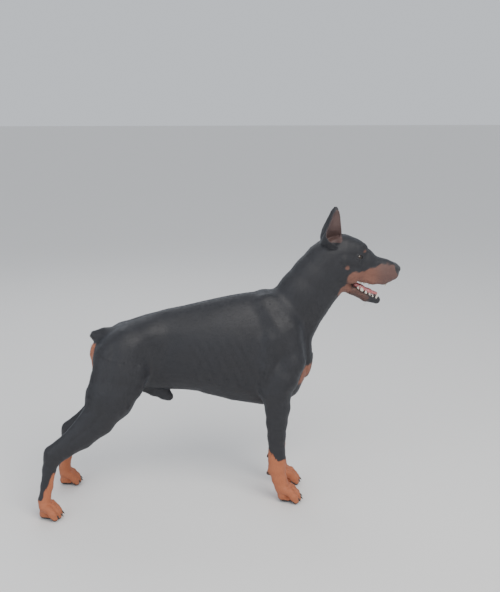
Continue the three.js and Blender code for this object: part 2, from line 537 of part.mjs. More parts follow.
// tongue lying in the lower jaw, and the jaw hollowed for it
const TONGUE = { s: [[184, 0, 717, 9, 16], [206, 0, 706, 9, 16.5], [232, 0, 694, 7.5, 15], [256, 0, 685, 6, 12]], m: true, e: 2 };
const tongueDistance = (x, y, z) => lengthDistance(TONGUE, x, y, z);
const jawRegion = prism([...JAW_LINE, [330, 600], [150, 600]], -FAR, FAR);
let jaw = surface((x, y, z) => Math.max(distance(x, y, z), GAP + 0.25 - tongueDistance(x, y, z)), [130, -52, 630], [300, 52, 750], [5, 5, 5], 0.12).intersect(jawRegion);
for (const t of lowerTeeth) jaw = jaw.add(t);
const tongue = surface(tongueDistance, [150, -32, 655], [282, 32, 750], [4.2, 4, 4], 0.14);
piece("lower_jaw", jaw.subtract(grown(tongue, GAP + 0.2)), "black", 0.5);
piece("tongue", tongue.intersect(jawRegion), "tongue", 0.35);

// Cropped upright ear: rows of a shell that cups outwards and a little forwards.
// height, middle of the cup's arc x, y, its radius, half angle, the way it opens in degrees outwards from straight ahead, thickness
const EAR_ROWS = [
  [858, 97, 33, 30, 142, 46, 9.5], [870, 99, 40, 32, 108, 52, 9], [885, 102, 48.5, 31.5, 84, 62, 8.4], [900, 104.5, 57.5, 29.6, 68, 70, 7.6], [915, 106.6, 60.3, 26.4, 60, 72, 7],
  [930, 108.6, 60, 22, 56, 72, 6.5], [943, 110, 58.4, 17.6, 54, 72, 6.2], [953, 110.3, 57, 14.6, 52, 72, 6], [961, 111.2, 55.3, 10.2, 50, 72, 5.6], [966.5, 110.8, 52.7, 5.4, 48, 72, 5], [969, 110.2, 51, 2.4, 45, 72, 4.4],
];
const EAR_ACROSS = 6;
// how far the far ear stands ahead of the near one at its root, and how much more at its tip
const EAR_AHEAD = [12, 5];
function ear(s) {
  const P = [], T = [], n = EAR_ACROSS + 1;
  for (const [z, x, y, R, degrees, turn, thick] of EAR_ROWS) {
    const alpha = degrees * Math.PI / 180, fx = Math.cos(turn * Math.PI / 180), fy = Math.sin(turn * Math.PI / 180);
    const lean = s > 0 ? EAR_AHEAD[0] + EAR_AHEAD[1] * Math.max(0, z - 872) / 97 : 0;
    for (const off of [thick / 2, -thick / 2])
      for (let i = 0; i < n; i++) {
        const a = alpha * (2 * i / EAR_ACROSS - 1);
        const edge = 1 - 0.4 * Math.abs(2 * i / EAR_ACROSS - 1) ** 4;
        const r = R + off * edge;
        const along = r * Math.sin(a), back = r * Math.cos(a);
        P.push(x + lean + fy * along - fx * back, s * (y - 3 - fx * along - fy * back), z);
      }
  }
  const at = (row, side, i) => (row * 2 + side) * n + i;
  const quad = (a, b, c, d) => T.push(a, b, c, a, c, d);
  const rows = EAR_ROWS.length;
  for (let r = 0; r + 1 < rows; r++) {
    for (let i = 0; i + 1 < n; i++) {
      quad(at(r, 0, i), at(r, 0, i + 1), at(r + 1, 0, i + 1), at(r + 1, 0, i));
      quad(at(r, 1, i), at(r + 1, 1, i), at(r + 1, 1, i + 1), at(r, 1, i + 1));
    }
    quad(at(r, 0, 0), at(r + 1, 0, 0), at(r + 1, 1, 0), at(r, 1, 0));
    quad(at(r, 0, n - 1), at(r, 1, n - 1), at(r + 1, 1, n - 1), at(r + 1, 0, n - 1));
  }
  for (let i = 0; i + 1 < n; i++) {
    quad(at(0, 0, i), at(0, 1, i), at(0, 1, i + 1), at(0, 0, i + 1));
    quad(at(rows - 1, 0, i), at(rows - 1, 0, i + 1), at(rows - 1, 1, i + 1), at(rows - 1, 1, i));
  }
  if (s > 0) T.reverse();
  let made = solidOf(P, T);
  if (made.volume() < 0) {
    T.reverse();
    made = solidOf(P, T);
  }
  return made;
}
const headKeepOut = grown(headMesh, GAP + 0.4);
for (const [side, s] of [["r", -1], ["l", 1]]) {
  const parts = ear(s).subtract(headKeepOut).decompose();
  piece("ear_" + side, parts.sort((a, b) => b.volume() - a.volume())[0], "black", 0.5);
}

// tail
piece("tail", region([-690, -40, 500], [-585, 40, 630], [7, 6.5, 6.5], 0.15).intersect(box(-720, TAIL_CUT, -FAR, FAR, 547, 700)), "black", 0.5);

// forelegs
const toes = {}; // the flesh of each paw
for (const [side, s] of [["r", -1], ["l", 1]]) {
  const f = FORE[side], y0 = s < 0 ? -FAR : 0, y1 = s < 0 ? 0 : FAR;
  const legArea = foreBoxes(side, GAP / 2);
  piece("foreleg_upper_" + side,
    region([f.x - 75, f.y - 72, 100], [f.x + 78, f.y + 72, 430], [10, 9, 11], 0.13).intersect(legArea).intersect(box(-300, 100, y0, y1, WRIST_CUT, ARM_CUT)), "black", 0.45);
  piece("foreleg_pastern_" + side,
    region([f.x - 62, f.y - 52, 38], [f.x + 72, f.y + 52, 164], [7, 6.5, 8], 0.13).intersect(box(-300, 100, y0, y1, FORE_PAW_CUT, WRIST_CUT)), "rust", 0.5);
  toes["fore" + side] = region([f.x - 46, f.y - 56, -22], [f.x + 118, f.y + 56, 90], [5, 4.6, 5], 0.115);
  piece("forepaw_" + side,
    toes["fore" + side].intersect(box(-300, 100, y0, y1, 0 - GAP / 2, FORE_PAW_CUT)), "rust", 0.5);
}

// hind legs
for (const [side, s] of [["r", -1], ["l", 1]]) {
  const h = HIND[side], y0 = s < 0 ? -FAR : 0, y1 = s < 0 ? 0 : FAR;
  const hy = s * h.hock[1], fy = s * h.foot[1];
  piece("thigh_" + side,
    region([-730, s < 0 ? -168 : -30, 310], [-440, s < 0 ? 30 : 178, 620], [13, 12, 13], 0.14).intersect(
      prism([RUMP_LINE[0], RUMP_LINE[1], [TAIL_CUT, 547], [-760, 547], [-780, 394], KNEE_LINE[0]], y0, y1)), "black", 0.45);
  piece("hindleg_lower_" + side,
    region([h.hock[0] - 66, hy - 68, 140], [-455, hy + 76, 430], [10, 9, 10], 0.12).intersect(
      prism([KNEE_LINE[0], KNEE_LINE[1], [-900, 394], HOCK_LINE[1], HOCK_LINE[0], [-455, 176]], y0, y1)), "black", 0.45);
  piece("hindleg_pastern_" + side,
    region([h.foot[0] - 56, fy - 62, 28], [h.hock[0] + 62, fy + 52, 226], [7, 6.5, 8], 0.13).intersect(
      prism([HOCK_LINE[0], HOCK_LINE[1], [-900, HIND_PAW_CUT], [-700, HIND_PAW_CUT]], y0, y1)), "rust", 0.5);
  toes["hind" + side] = region([h.foot[0] - 48, fy - 56, -22], [h.foot[0] + 108, fy + 56, 84], [5, 4.5, 5], 0.115);
  piece("hindpaw_" + side,
    toes["hind" + side].intersect(box(-960, -600, y0, y1, 0 - GAP / 2, HIND_PAW_CUT)), "rust", 0.5);
}

// Claws: four on each paw, a bent horn that starts at the front of its toe.
function claw(paw, s, scale, turn, dy, back) {
  const ring = 6, steps = 3, P = [], T = [];
  for (let i = 0; i <= steps; i++) {
    const t = i / steps, r = 3.4 * scale * (1 - 0.8 * t);
    const dx = 57.5 + back + 11 * t, z = 19 - 3 * t - 8 * t * t;
    for (let j = 0; j < ring; j++) {
      const a = 2 * Math.PI * j / ring;
      P.push(...pawPoint(paw, s, scale, turn, dx + r * 0.45 * Math.sin(a) * (t + 0.3), dy * TOE_SPREAD + (r * 0.75 * Math.cos(a)) / scale, z + (r * Math.sin(a)) / scale));
    }
  }
  for (let i = 0; i < steps; i++)
    for (let j = 0; j < ring; j++) {
      const a = i * ring + j, b = i * ring + (j + 1) % ring;
      T.push(a, b, b + ring, a, b + ring, a + ring);
    }
  const first = P.length / 3;
  for (const row of [0, steps]) {
    const c = [0, 0, 0];
    for (let j = 0; j < ring; j++) for (let q = 0; q < 3; q++) c[q] += P[(row * ring + j) * 3 + q] / ring;
    P.push(...c);
  }
  for (let j = 0; j < ring; j++) {
    T.push(first, (j + 1) % ring, j);
    T.push(first + 1, steps * ring + j, steps * ring + (j + 1) % ring);
  }
  let made = solidOf(P, T);
  if (made.volume() < 0) made = solidOf(P, T.reverse());
  return made;
}
const paws = [
  ["fore", "r", FORE_PAW.r, -1, 1, PAW_TURN], ["fore", "l", FORE_PAW.l, 1, 1, PAW_TURN],
  ["hind", "r", HIND_PAW.r, -1, HIND_PAW_SCALE, PAW_TURN], ["hind", "l", HIND_PAW.l, 1, HIND_PAW_SCALE, PAW_TURN + 2],
];
for (const [pair, side, paw, s, scale, turn] of paws)
  TOES.forEach(([dy, back], i) => {
    const parts = claw(paw, s, scale, turn, dy, back).subtract(grown(toes[pair + side], GAP + 0.2)).decompose();
    if (parts.length) piece(`claw_${pair}_${side}_${i + 1}`, parts.sort((a, b) => b.volume() - a.volume())[0], "claw", 0.35);
  });

// ---------------------------------------------------------------- the model
const dog = new THREE.Group();
dog.name = "doberman_pinscher";
const placed = new THREE.Group();
placed.position.set(-ORIGIN[0], -ORIGIN[1], -ORIGIN[2]);
for (const mesh of nodes) placed.add(mesh);
dog.add(placed);
dog.updateMatrixWorld(true);

export default dog;
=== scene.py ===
import bpy
import math
import numpy as np
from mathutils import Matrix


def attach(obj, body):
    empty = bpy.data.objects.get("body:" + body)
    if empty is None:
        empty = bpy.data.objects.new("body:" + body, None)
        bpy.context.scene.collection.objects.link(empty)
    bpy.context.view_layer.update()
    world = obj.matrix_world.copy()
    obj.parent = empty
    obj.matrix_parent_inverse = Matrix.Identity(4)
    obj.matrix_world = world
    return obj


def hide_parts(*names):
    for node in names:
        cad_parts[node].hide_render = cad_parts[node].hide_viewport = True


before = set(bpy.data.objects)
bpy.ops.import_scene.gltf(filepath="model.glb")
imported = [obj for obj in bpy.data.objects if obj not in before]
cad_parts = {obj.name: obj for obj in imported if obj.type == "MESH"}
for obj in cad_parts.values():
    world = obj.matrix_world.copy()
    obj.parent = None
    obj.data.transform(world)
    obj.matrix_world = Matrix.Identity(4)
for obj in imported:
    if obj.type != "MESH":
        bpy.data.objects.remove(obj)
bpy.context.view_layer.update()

# ------------------------------------------------------------------ the body as lengths of flesh
# Millimetres in the sketch frame: x from the near front toe towards the nose, y to the dog's left
# from the middle plane, z up. The row frame is the sketch frame minus ORIGIN, in metres.
ORIGIN = np.array([-259.1, 26.9, 0.0])
INSET = 0.4  # the skin lies this far inside the flesh line, and the coat tips 0.8 outside it

FORE = {-1: (-84, 77), 1: (-62, 60)}
FORE_PAW = {-1: (-58, 77), 1: (-36, 60)}
HIND = {
    -1: dict(hip=(-572, 52), thigh=(-585, 66), stifle=(-540, 68), knee=(-606, 88), hock=(-800, 95), foot=(-834, 99)),
    1: dict(hip=(-570, 52), thigh=(-572, 68), stifle=(-536, 72), knee=(-576, 96), hock=(-762, 118), foot=(-790, 152)),
}
HIND_PAW = {-1: (-836, 99), 1: (-792, 152)}
TOES = ((-25, -9), (-9.5, 0), (9.5, 0), (25, -9))
TOE_SPREAD = 1.12
PAWS = [(*FORE_PAW[-1], -1, 1.0, 6), (*FORE_PAW[1], 1, 1.0, 6), (*HIND_PAW[-1], -1, 0.95, 6), (*HIND_PAW[1], 1, 0.95, 8)]
EYE = np.array([185.5, 38.5, 813.5])
EYE_R = 11.5

TRUNK = np.array([
    [-650, 576, 500, 26, 545], [-630, 586, 462, 44, 530], [-600, 596, 430, 60, 520], [-560, 613, 408, 70, 520],
    [-500, 633, 392, 76, 525], [-440, 650, 386, 80, 525], [-380, 661, 382, 88, 520], [-320, 673, 372, 97, 512],
    [-260, 685, 358, 102, 505], [-200, 695, 342, 103, 502], [-150, 700, 330, 100, 505], [-100, 698, 326, 94, 512],
    [-60, 684, 332, 88, 515], [-25, 655, 348, 78, 510], [0, 610, 372, 64, 500], [20, 560, 405, 44, 490]], float)

LENGTHS = []


def length(stations, blend, both=False, square=2.0):
    LENGTHS.append((np.array(stations, float), blend, both, square))


def body_flesh():
    length([[-40, 0, 622, 84, 62], [14, 0, 688, 86, 62], [56, 0, 742, 82, 58], [90, 0, 786, 76, 55], [112, 0, 806, 64, 52]], 38, True)
    length([[17, 0, 548, 28, 38], [56, 0, 632, 30, 36], [106, 0, 700, 28, 34], [140, 0, 727, 26, 32]], 26, True)
    length([[7, 0, 503, 21, 34], [-12, 0, 440, 23, 38], [-32, 0, 385, 28, 44]], 30, True)
    length([[-30, 0, 372, 24, 26], [-120, 0, 347, 23, 30], [-220, 0, 366, 23, 34], [-300, 0, 391, 20, 36]], 24, True)
    length([[-112, 40, 660, 36, 22], [-62, 70, 578, 50, 30], [-35, 79, 488, 41, 34]], 32, True)
    length([[-36, 79, 476, 35, 34], [-62, 86, 428, 46, 36], [-90, 86, 378, 42, 32]], 24, True)
    length([[-108, 78, 555, 30, 26], [-120, 84, 470, 36, 28], [-112, 86, 392, 26, 24]], 24, True)
    length([[-490, 34, 578, 38, 36], [-560, 42, 552, 46, 40], [-620, 40, 515, 44, 38]], 36, True)
    length([[-588, 0, 571, 25, 24], [-632, 0, 574, 22, 20], [-660, 0, 573, 16.5, 15]], 16, True)
    length([[-530, 0, 404, 18, 20], [-478, 0, 382, 19, 17], [-442, 0, 366, 19, 14], [-430, 0, 357, 14, 11]], 12, True)
    length([[-606, 0, 545, 30, 32], [-643, 0, 514, 35, 33], [-642, 0, 476, 33, 38]], 26, True)


def foreleg(s):
    x, y = FORE[s]
    length([[x, s * (y + 2), 370, 45, 34], [x + 2, s * (y + 4), 330, 41, 31], [x, s * (y + 3), 280, 34.5, 27],
            [x, s * (y + 1), 230, 29.5, 23], [x + 1, s * y, 180, 26.5, 21], [x + 2, s * y, 150, 28.5, 24], [x + 2, s * y, 118, 27.5, 22]], 18)
    length([[x + 2, s * y, 118, 26.5, 21], [x + 10, s * y, 80, 24, 21], [x + 19, s * y, 52, 23, 24], [x + 24, s * y, 33, 21, 23]], 12)
    length([[x - 16, s * y, 112, 9, 8], [x - 26, s * y, 103, 8, 7]], 7)


def hindleg(s):
    h = HIND[s]
    hip, thigh, stifle, knee, hock, foot = (h[k] for k in ("hip", "thigh", "stifle", "knee", "hock", "foot"))
    length([[hip[0], s * hip[1], 528, 60, 36], [thigh[0] + 3, s * thigh[1], 495, 80, 42],
            [thigh[0] - 8, s * (thigh[1] + 10), 450, 82, 43], [knee[0] - 16, s * (knee[1] - 4), 398, 72, 41]], 30)
    length([[stifle[0], s * stifle[1], 470, 30, 32], [stifle[0] - 18, s * (stifle[1] + 12), 410, 25, 33], [stifle[0] - 50, s * (stifle[1] + 18), 366, 32, 34]], 30)
    dx, dy = hock[0] - knee[0], hock[1] - knee[1]
    length([[knee[0] - 12, s * knee[1], 385, 65, 40], [knee[0] + dx * 0.27 - 1, s * (knee[1] + dy * 0.3), 321, 54, 33],
            [knee[0] + dx * 0.57 + 3, s * (knee[1] + dy * 0.6), 268, 41, 26], [knee[0] + dx * 0.84 + 1, s * (knee[1] + dy * 0.85), 230, 31, 21],
            [hock[0], s * hock[1], 205, 29, 21]], 22)
    length([[knee[0] + dx * 0.42, s * (knee[1] + dy * 0.5), 338, 17, 14], [knee[0] + dx * 0.78, s * (knee[1] + dy * 0.8), 266, 13, 10],
            [hock[0] - 10, s * hock[1], 226, 14, 12]], 14)
    length([[hock[0] - 4, s * hock[1], 214, 25, 20], [hock[0] * 0.7 + foot[0] * 0.3 - 6, s * (hock[1] * 0.7 + foot[1] * 0.3), 165, 21, 18],
            [hock[0] * 0.35 + foot[0] * 0.65 - 4, s * (hock[1] * 0.35 + foot[1] * 0.65), 110, 19, 16.5],
            [foot[0] - 2, s * foot[1], 62, 19, 18], [foot[0], s * foot[1], 44, 19.5, 22], [foot[0] + 2, s * foot[1], 30, 19, 22]], 14)


def paw_point(paw, dx, dy, z):
    x, y, s, scale, turn = paw
    c, n = math.cos(math.radians(turn)), math.sin(math.radians(turn))
    return [x + scale * (dx * c - dy * n), s * (y + scale * (dx * n + dy * c)), z * scale]


def paw_flesh(paw):
    k = paw[3]
    for dy, back in TOES:
        length([paw_point(paw, 2 + back * 0.4, dy * 0.72, 47) + [13 * k, 11 * k], paw_point(paw, 27 + back, dy * 0.96, 41) + [12.5 * k, 10.5 * k],
                paw_point(paw, 41 + back, dy * TOE_SPREAD, 24) + [11.5 * k, 10 * k], paw_point(paw, 46 + back, dy * TOE_SPREAD, 12) + [11 * k, 9.5 * k]], 4)
    length([paw_point(paw, -5, 0, 15) + [14 * k, 18 * k], paw_point(paw, 16, 0, 12) + [12.5 * k, 20 * k]], 12)


def head_flesh():
    length([[104, 0, 824, 46, 48], [140, 0, 832, 49, 54], [172, 0, 824, 46, 48], [204, 0, 804, 40, 38]], 20, True, 2.4)
    length([[192, 0, 775, 46, 40], [234, 0, 768, 44, 34], [276, 0, 761, 39, 30.5], [302, 0, 759, 31.5, 26]], 16, True, 2.5)
    length([[200, 24, 743, 14, 10], [240, 21.5, 733, 13, 10.5], [276, 17.5, 731, 13, 11], [296, 12, 737, 12, 11.5]], 9, True)
    length([[128, 42, 770, 34, 14], [166, 38, 758, 32, 13]], 16, True)
    length([[138, 50, 806, 13, 9], [186, 38, 796, 11, 8]], 12, True)
    length([[168, 30, 848, 12, 11], [205, 22, 841, 13, 11]], 10, True)
    length([[317, 0, 770, 13, 16], [328, 0, 766, 11, 14.5]], 6, True)
    length([[136, 0, 722, 24, 36], [176, 0, 701, 17, 28], [222, 0, 675, 15.5, 22], [259, 0, 663, 13.5, 18]], 9, True)


body_flesh()
foreleg(-1); foreleg(1)
hindleg(-1); hindleg(1)
for paw in PAWS:
    paw_flesh(paw)
head_flesh()


# ------------------------------------------------------------------ distances
def smin(a, b, k):
    h = np.maximum(k - np.abs(a - b), 0) / k
    return np.minimum(a, b) - h * h * k * 0.25


def smax(a, b, k):
    return -smin(-a, -b, k)


def section(u, v, s, a, b, n):
    pu, pv, ps = np.abs(u) / a, np.abs(v) / b, np.abs(s) / a
    if n == 2.0:
        k0 = np.sqrt(pu * pu + pv * pv + ps * ps)
        k1 = np.sqrt((pu / a) ** 2 + (pv / b) ** 2 + (ps / a) ** 2)
        return k0 * (k0 - 1) / np.maximum(k1, 1e-9)
    r = np.maximum((pu ** n + pv ** n + ps ** n) ** (1 / n), 1e-6)
    g = np.sqrt((pu ** (n - 1) / a) ** 2 + (pv ** (n - 1) / b) ** 2 + (ps ** (n - 1) / a) ** 2) * r ** (1 - n)
    return (r - 1) / np.maximum(g, 1e-6)


def along(P, st, both, n=2.0, join=8.0):
    x, y, z = P[:, 0], P[:, 1], P[:, 2]
    if both:
        y = np.abs(y)
    d = None
    for A, B in zip(st[:-1], st[1:]):
        ax, ay, az = B[:3] - A[:3]
        t = ((x - A[0]) * ax + (y - A[1]) * ay + (z - A[2]) * az) / (ax * ax + ay * ay + az * az)
        c = np.clip(t, 0, 1)
        dx, dz = x - A[0] - ax * c, z - A[2] - az * c
        L = math.hypot(ax, az)
        u = (-dx * az + dz * ax) / L
        s = np.where((t > 0) & (t < 1), 0, (dx * ax + dz * az) / L)
        e = section(u, y - A[1] - ay * c, s, A[3] + (B[3] - A[3]) * c, A[4] + (B[4] - A[4]) * c, n)
        d = e if d is None else smin(d, e, join)
    return d


SLOPES = np.stack([np.gradient(TRUNK[:, c], TRUNK[:, 0]) for c in range(1, 5)], 1)


def trunk_distance(P):
    x, y, z = P[:, 0], P[:, 1], P[:, 2]
    xs = TRUNK[:, 0]
    xc = np.clip(x, xs[0], xs[-1])
    i = np.clip(np.searchsorted(xs, xc, side="right") - 1, 0, len(xs) - 2)
    h = xs[i + 1] - xs[i]
    t = (xc - xs[i]) / h
    top, low, wide, mid = [(2 * t ** 3 - 3 * t ** 2 + 1) * TRUNK[i, c] + (t ** 3 - 2 * t ** 2 + t) * h * SLOPES[i, c - 1]
                           + (-2 * t ** 3 + 3 * t ** 2) * TRUNK[i + 1, c] + (t ** 3 - t ** 2) * h * SLOPES[i + 1, c - 1] for c in (1, 2, 3, 4)]
    return section(z - mid, y, (x - xc) * 3, np.where(z > mid, top - mid, mid - low), wide, 2.0)


# ------------------------------------------------------------------ ears: a shell that cups forwards and outwards
EAR_ROWS = np.array([  # height, middle of the cup's arc x, y, its radius, half angle, the way it opens, thickness
    [846, 97, 28, 26, 172, 45, 8], [858, 97, 33, 30, 142, 46, 8.2], [870, 99, 40, 32, 108, 52, 7.6], [885, 102, 48.5, 31.5, 84, 62, 7], [900, 104.5, 57.5, 29.6, 68, 70, 6.2],
    [915, 106.6, 60.3, 26.4, 60, 72, 5.6], [930, 108.6, 60, 22, 56, 72, 5.2], [943, 110, 58.4, 17.6, 54, 72, 4.9], [953, 110.3, 57, 14.6, 52, 72, 4.7],
    [961, 111.2, 55.3, 10.2, 50, 72, 4.5], [966, 110.8, 52.7, 5.4, 48, 72, 4.2]], float)
EAR_AHEAD = (12.0, 5.0)  # how far the far ear stands ahead of the near one at its root, and how much more at its tip


def ear_frame(P):
    y, z = np.abs(P[:, 1]), P[:, 2]
    zc = np.clip(z, EAR_ROWS[0, 0], EAR_ROWS[-1, 0])
    cx, cy, R, deg, turn, thick = (np.interp(zc, EAR_ROWS[:, 0], EAR_ROWS[:, c]) for c in range(1, 7))
    cx = cx + np.where(P[:, 1] > 0, EAR_AHEAD[0] + EAR_AHEAD[1] * np.maximum(zc - 872, 0) / 97, 0)
    cy = cy - 3
    fx, fy = np.cos(np.radians(turn)), np.sin(np.radians(turn))
    qx, qy = P[:, 0] - cx, y - cy
    return zc, np.radians(deg), R, thick, qx * fy - qy * fx, qx * fx + qy * fy, z


def ear_distance(P):
    zc, alpha, R, thick, lat, fro, z = ear_frame(P)
    a = np.arctan2(lat, -fro)
    share = np.clip(np.abs(a) / alpha, 0, 1)
    half = thick / 2 * (1 - 0.3 * share ** 4)
    wall = np.abs(np.hypot(lat, fro) - R)
    edge = np.hypot(lat - np.sign(a) * R * np.sin(alpha), fro + R * np.cos(alpha))
    flat = np.where(np.abs(a) <= alpha, wall, edge)
    return np.hypot(flat, z - zc) - half


def ear_pit(P):
    q = np.stack([P[:, 0] - np.where(P[:, 1] > 0, EAR_AHEAD[0], 0), np.abs(P[:, 1]), P[:, 2]], 1) - [105, 44, 872]
    q = q / [16, 13, 15]
    return (np.linalg.norm(q, axis=1) - 1) * 13


# ------------------------------------------------------------------ finer form of the body
def line_distance(x, z, pts):
    best = None
    for (x0, z0), (x1, z1) in zip(pts[:-1], pts[1:]):
        ax, az = x1 - x0, z1 - z0
        t = np.clip(((x - x0) * ax + (z - z0) * az) / (ax * ax + az * az), 0, 1)
        d = np.hypot(x - x0 - ax * t, z - z0 - az * t)
        best = d if best is None else np.minimum(best, d)
    return best


def ramp(v, lo, hi):
    t = np.clip((v - lo) / (hi - lo), 0, 1)
    return t * t * (3 - 2 * t)


# Lines of muscle and bone on the flanks in the side view: points, width, height of the form (negative is a hollow)
FORMS = [
    ([(-118, 664), (-86, 600), (-52, 530)], 16, 2.2),  # spine of the shoulder blade
    ([(-150, 640), (-130, 560), (-140, 480)], 18, -2.6),  # hollow behind the shoulder
    ([(-82, 640), (-40, 560), (-8, 500)], 13, -1.8),  # hollow before the blade's spine
    ([(-70, 520), (-100, 470), (-122, 410)], 12, -2.4),  # between upper arm and triceps
    ([(-150, 470), (-128, 400), (-100, 372)], 10, -1.8),  # triceps lower edge
    ([(-30, 470), (-50, 420), (-78, 385)], 16, 1.8),  # upper arm
    ([(-330, 640), (-420, 625)], 22, -1.6),
    ([(-420, 560), (-450, 500), (-470, 440)], 24, -4.5),  # flank
    ([(-500, 590), (-540, 560)], 20, 2.0),
    ([(-600, 560), (-610, 500), (-640, 430)], 12, -2.2),  # between the thigh muscles
    ([(-560, 520), (-575, 460), (-590, 400)], 24, 2.0),
    ([(-530, 500), (-545, 430), (-560, 380)], 9, -1.6),
    ([(-500, 450), (-510, 420), (-520, 390)], 12, 2.0),
    ([(-640, 350), (-690, 300), (-740, 262)], 7, -2.2),  # before the heel tendon
    ([(-560, 372), (-590, 350)], 14, 2.2),  # knee
    ([(-615, 340), (-670, 280), (-730, 235)], 9, 1.6),
    ([(-60, 640), (-10, 660), (40, 700), (80, 740)], 20, 0.0),
]


def forms(P):
    x, y, z = P[:, 0], np.abs(P[:, 1]), P[:, 2]
    out = np.zeros(len(P))
    side = ramp(y, 18, 60)
    far = P[:, 1] > 0
    for pts, wide, high in FORMS:
        if not high:
            continue
        lo_x, hi_x = min(p[0] for p in pts), max(p[0] for p in pts)
        lo_z, hi_z = min(p[1] for p in pts), max(p[1] for p in pts)
        # the far hind leg stands 30 further forward than the near one
        shift = np.where(far & (lo_x < -560) & (z < 460), 28.0, 0.0) if lo_x < -560 else 0.0
        xs = x - shift
        m = (xs > lo_x - 3 * wide) & (xs < hi_x + 3 * wide) & (z > lo_z - 3 * wide) & (z < hi_z + 3 * wide)
        if not m.any():
            continue
        d = line_distance(xs[m], z[m], pts)
        out[m] += high * np.exp(-(d / wide) ** 2) * side[m]
    # ribs
    m = (x > -390) & (x < -150) & (z > 380) & (z < 620) & (y > 40)
    if m.any():
        w = ramp(x[m], -390, -340) * (1 - ramp(x[m], -190, -150)) * ramp(z[m], 380, 430) * (1 - ramp(z[m], 540, 620))
        out[m] += 0.4 * w * np.sin((x[m] + 0.45 * (z[m] - 500)) * 2 * math.pi / 31)
    # groove down the middle of the breast, and along the back
    m = (x > -40) & (z > 360) & (z < 540) & (y < 30)
    out[m] -= 1.6 * np.exp(-(y[m] / 9) ** 2) * ramp(x[m], -40, 0) * ramp(z[m], 370, 410) * (1 - ramp(z[m], 455, 500))
    m = (x < -120) & (x > -560) & (z > 600) & (y < 30)
    out[m] -= 1.4 * np.exp(-(y[m] / 6) ** 2)
    # cheek groove and forehead furrow
    m = (x > 90) & (z > 690)
    xm, ym, zm = x[m], y[m], z[m]
    out[m] -= 2.4 * np.exp(-(ym / 6) ** 2) * ramp(xm, 150, 180) * (1 - ramp(xm, 222, 245)) * ramp(zm, 815, 840)
    out[m] -= 2.0 * np.exp(-(line_distance(xm, zm, [(196, 792), (226, 784), (262, 782)]) / 8) ** 2) * ramp(ym, 14, 28)
    out[m] -= 2.2 * np.exp(-(line_distance(xm, zm, [(120, 856), (150, 852)]) / 15) ** 2) * ramp(ym, 24, 40)
    out[m] += 1.4 * np.exp(-(line_distance(xm, zm, [(262, 752), (292, 750)]) / 15) ** 2) * ramp(ym, 12, 24)
    out[m] -= 1.8 * np.exp(-(line_distance(xm, zm, [(188, 742), (182, 726), (170, 712)]) / 5) ** 2) * ramp(ym, 14, 28)
    return out


MOUTH_CUT = np.array([[176, 0, 716, 5, 20], [204, 0, 709, 11, 22], [240, 0, 702, 16, 24], [300, 0, 704, 14, 26]], float)
PALATE = np.array([[188, 0, 724, 10, 14], [240, 0, 722, 11, 13.5], [284, 0, 726, 8, 11]], float)
TROUGH = np.array([[186, 0, 708, 9, 17], [216, 0, 693, 8.5, 15], [246, 0, 681, 6.5, 11.5]], float)


def mouth_cut(P):
    d = along(P, MOUTH_CUT, True)
    d = smin(d, along(P, PALATE, True), 4)
    return smin(d, along(P, TROUGH, True), 4)


def unit(v):
    v = np.array(v, float)
    return v / np.linalg.norm(v)


EYE_OUT = unit([0.46, 0.87, 0.14])  # the way the lids open
GAZE = unit([0.62, 0.77, 0.06])  # the way the eye looks
EYE_LONG = unit(np.cross(EYE_OUT, np.cross([0.90, -0.35, -0.20], EYE_OUT)))  # towards the inner corner
EYE_UP = np.cross(EYE_OUT, EYE_LONG) * (1 if np.cross(EYE_OUT, EYE_LONG)[2] > 0 else -1)


def eye_frame(P):
    q = np.stack([P[:, 0], np.abs(P[:, 1]), P[:, 2]], 1) - EYE
    return q @ EYE_OUT, q @ EYE_LONG, q @ EYE_UP, np.linalg.norm(q, axis=1), q


def lids_open(u, w):
    """Below zero inside the almond between the lids; u runs towards the nose, w up."""
    w = w + 0.12 * u
    return np.maximum(np.hypot(u, w + 6.7) - 12.6, np.hypot(u, w - 7.6) - 12.9)


def nostril(P):
    Q = np.stack([P[:, 0], np.abs(P[:, 1]), P[:, 2]], 1)

    def capsule(a, b, r0, r1):
        a, b = np.array(a, float), np.array(b, float)
        t = np.clip((Q - a) @ (b - a) / ((b - a) @ (b - a)), 0, 1)
        return np.linalg.norm(Q - a - t[:, None] * (b - a), axis=1) - (r0 + (r1 - r0) * t)
    d = capsule((341, 6.2, 769), (326, 4.5, 770), 3.9, 2.2)
    d = smin(d, capsule((338, 9, 766), (327, 16.5, 763.5), 1.7, 0.9), 2)
    return d, capsule((343, 0, 764), (322, 0, 736), 1.0, 1.1)


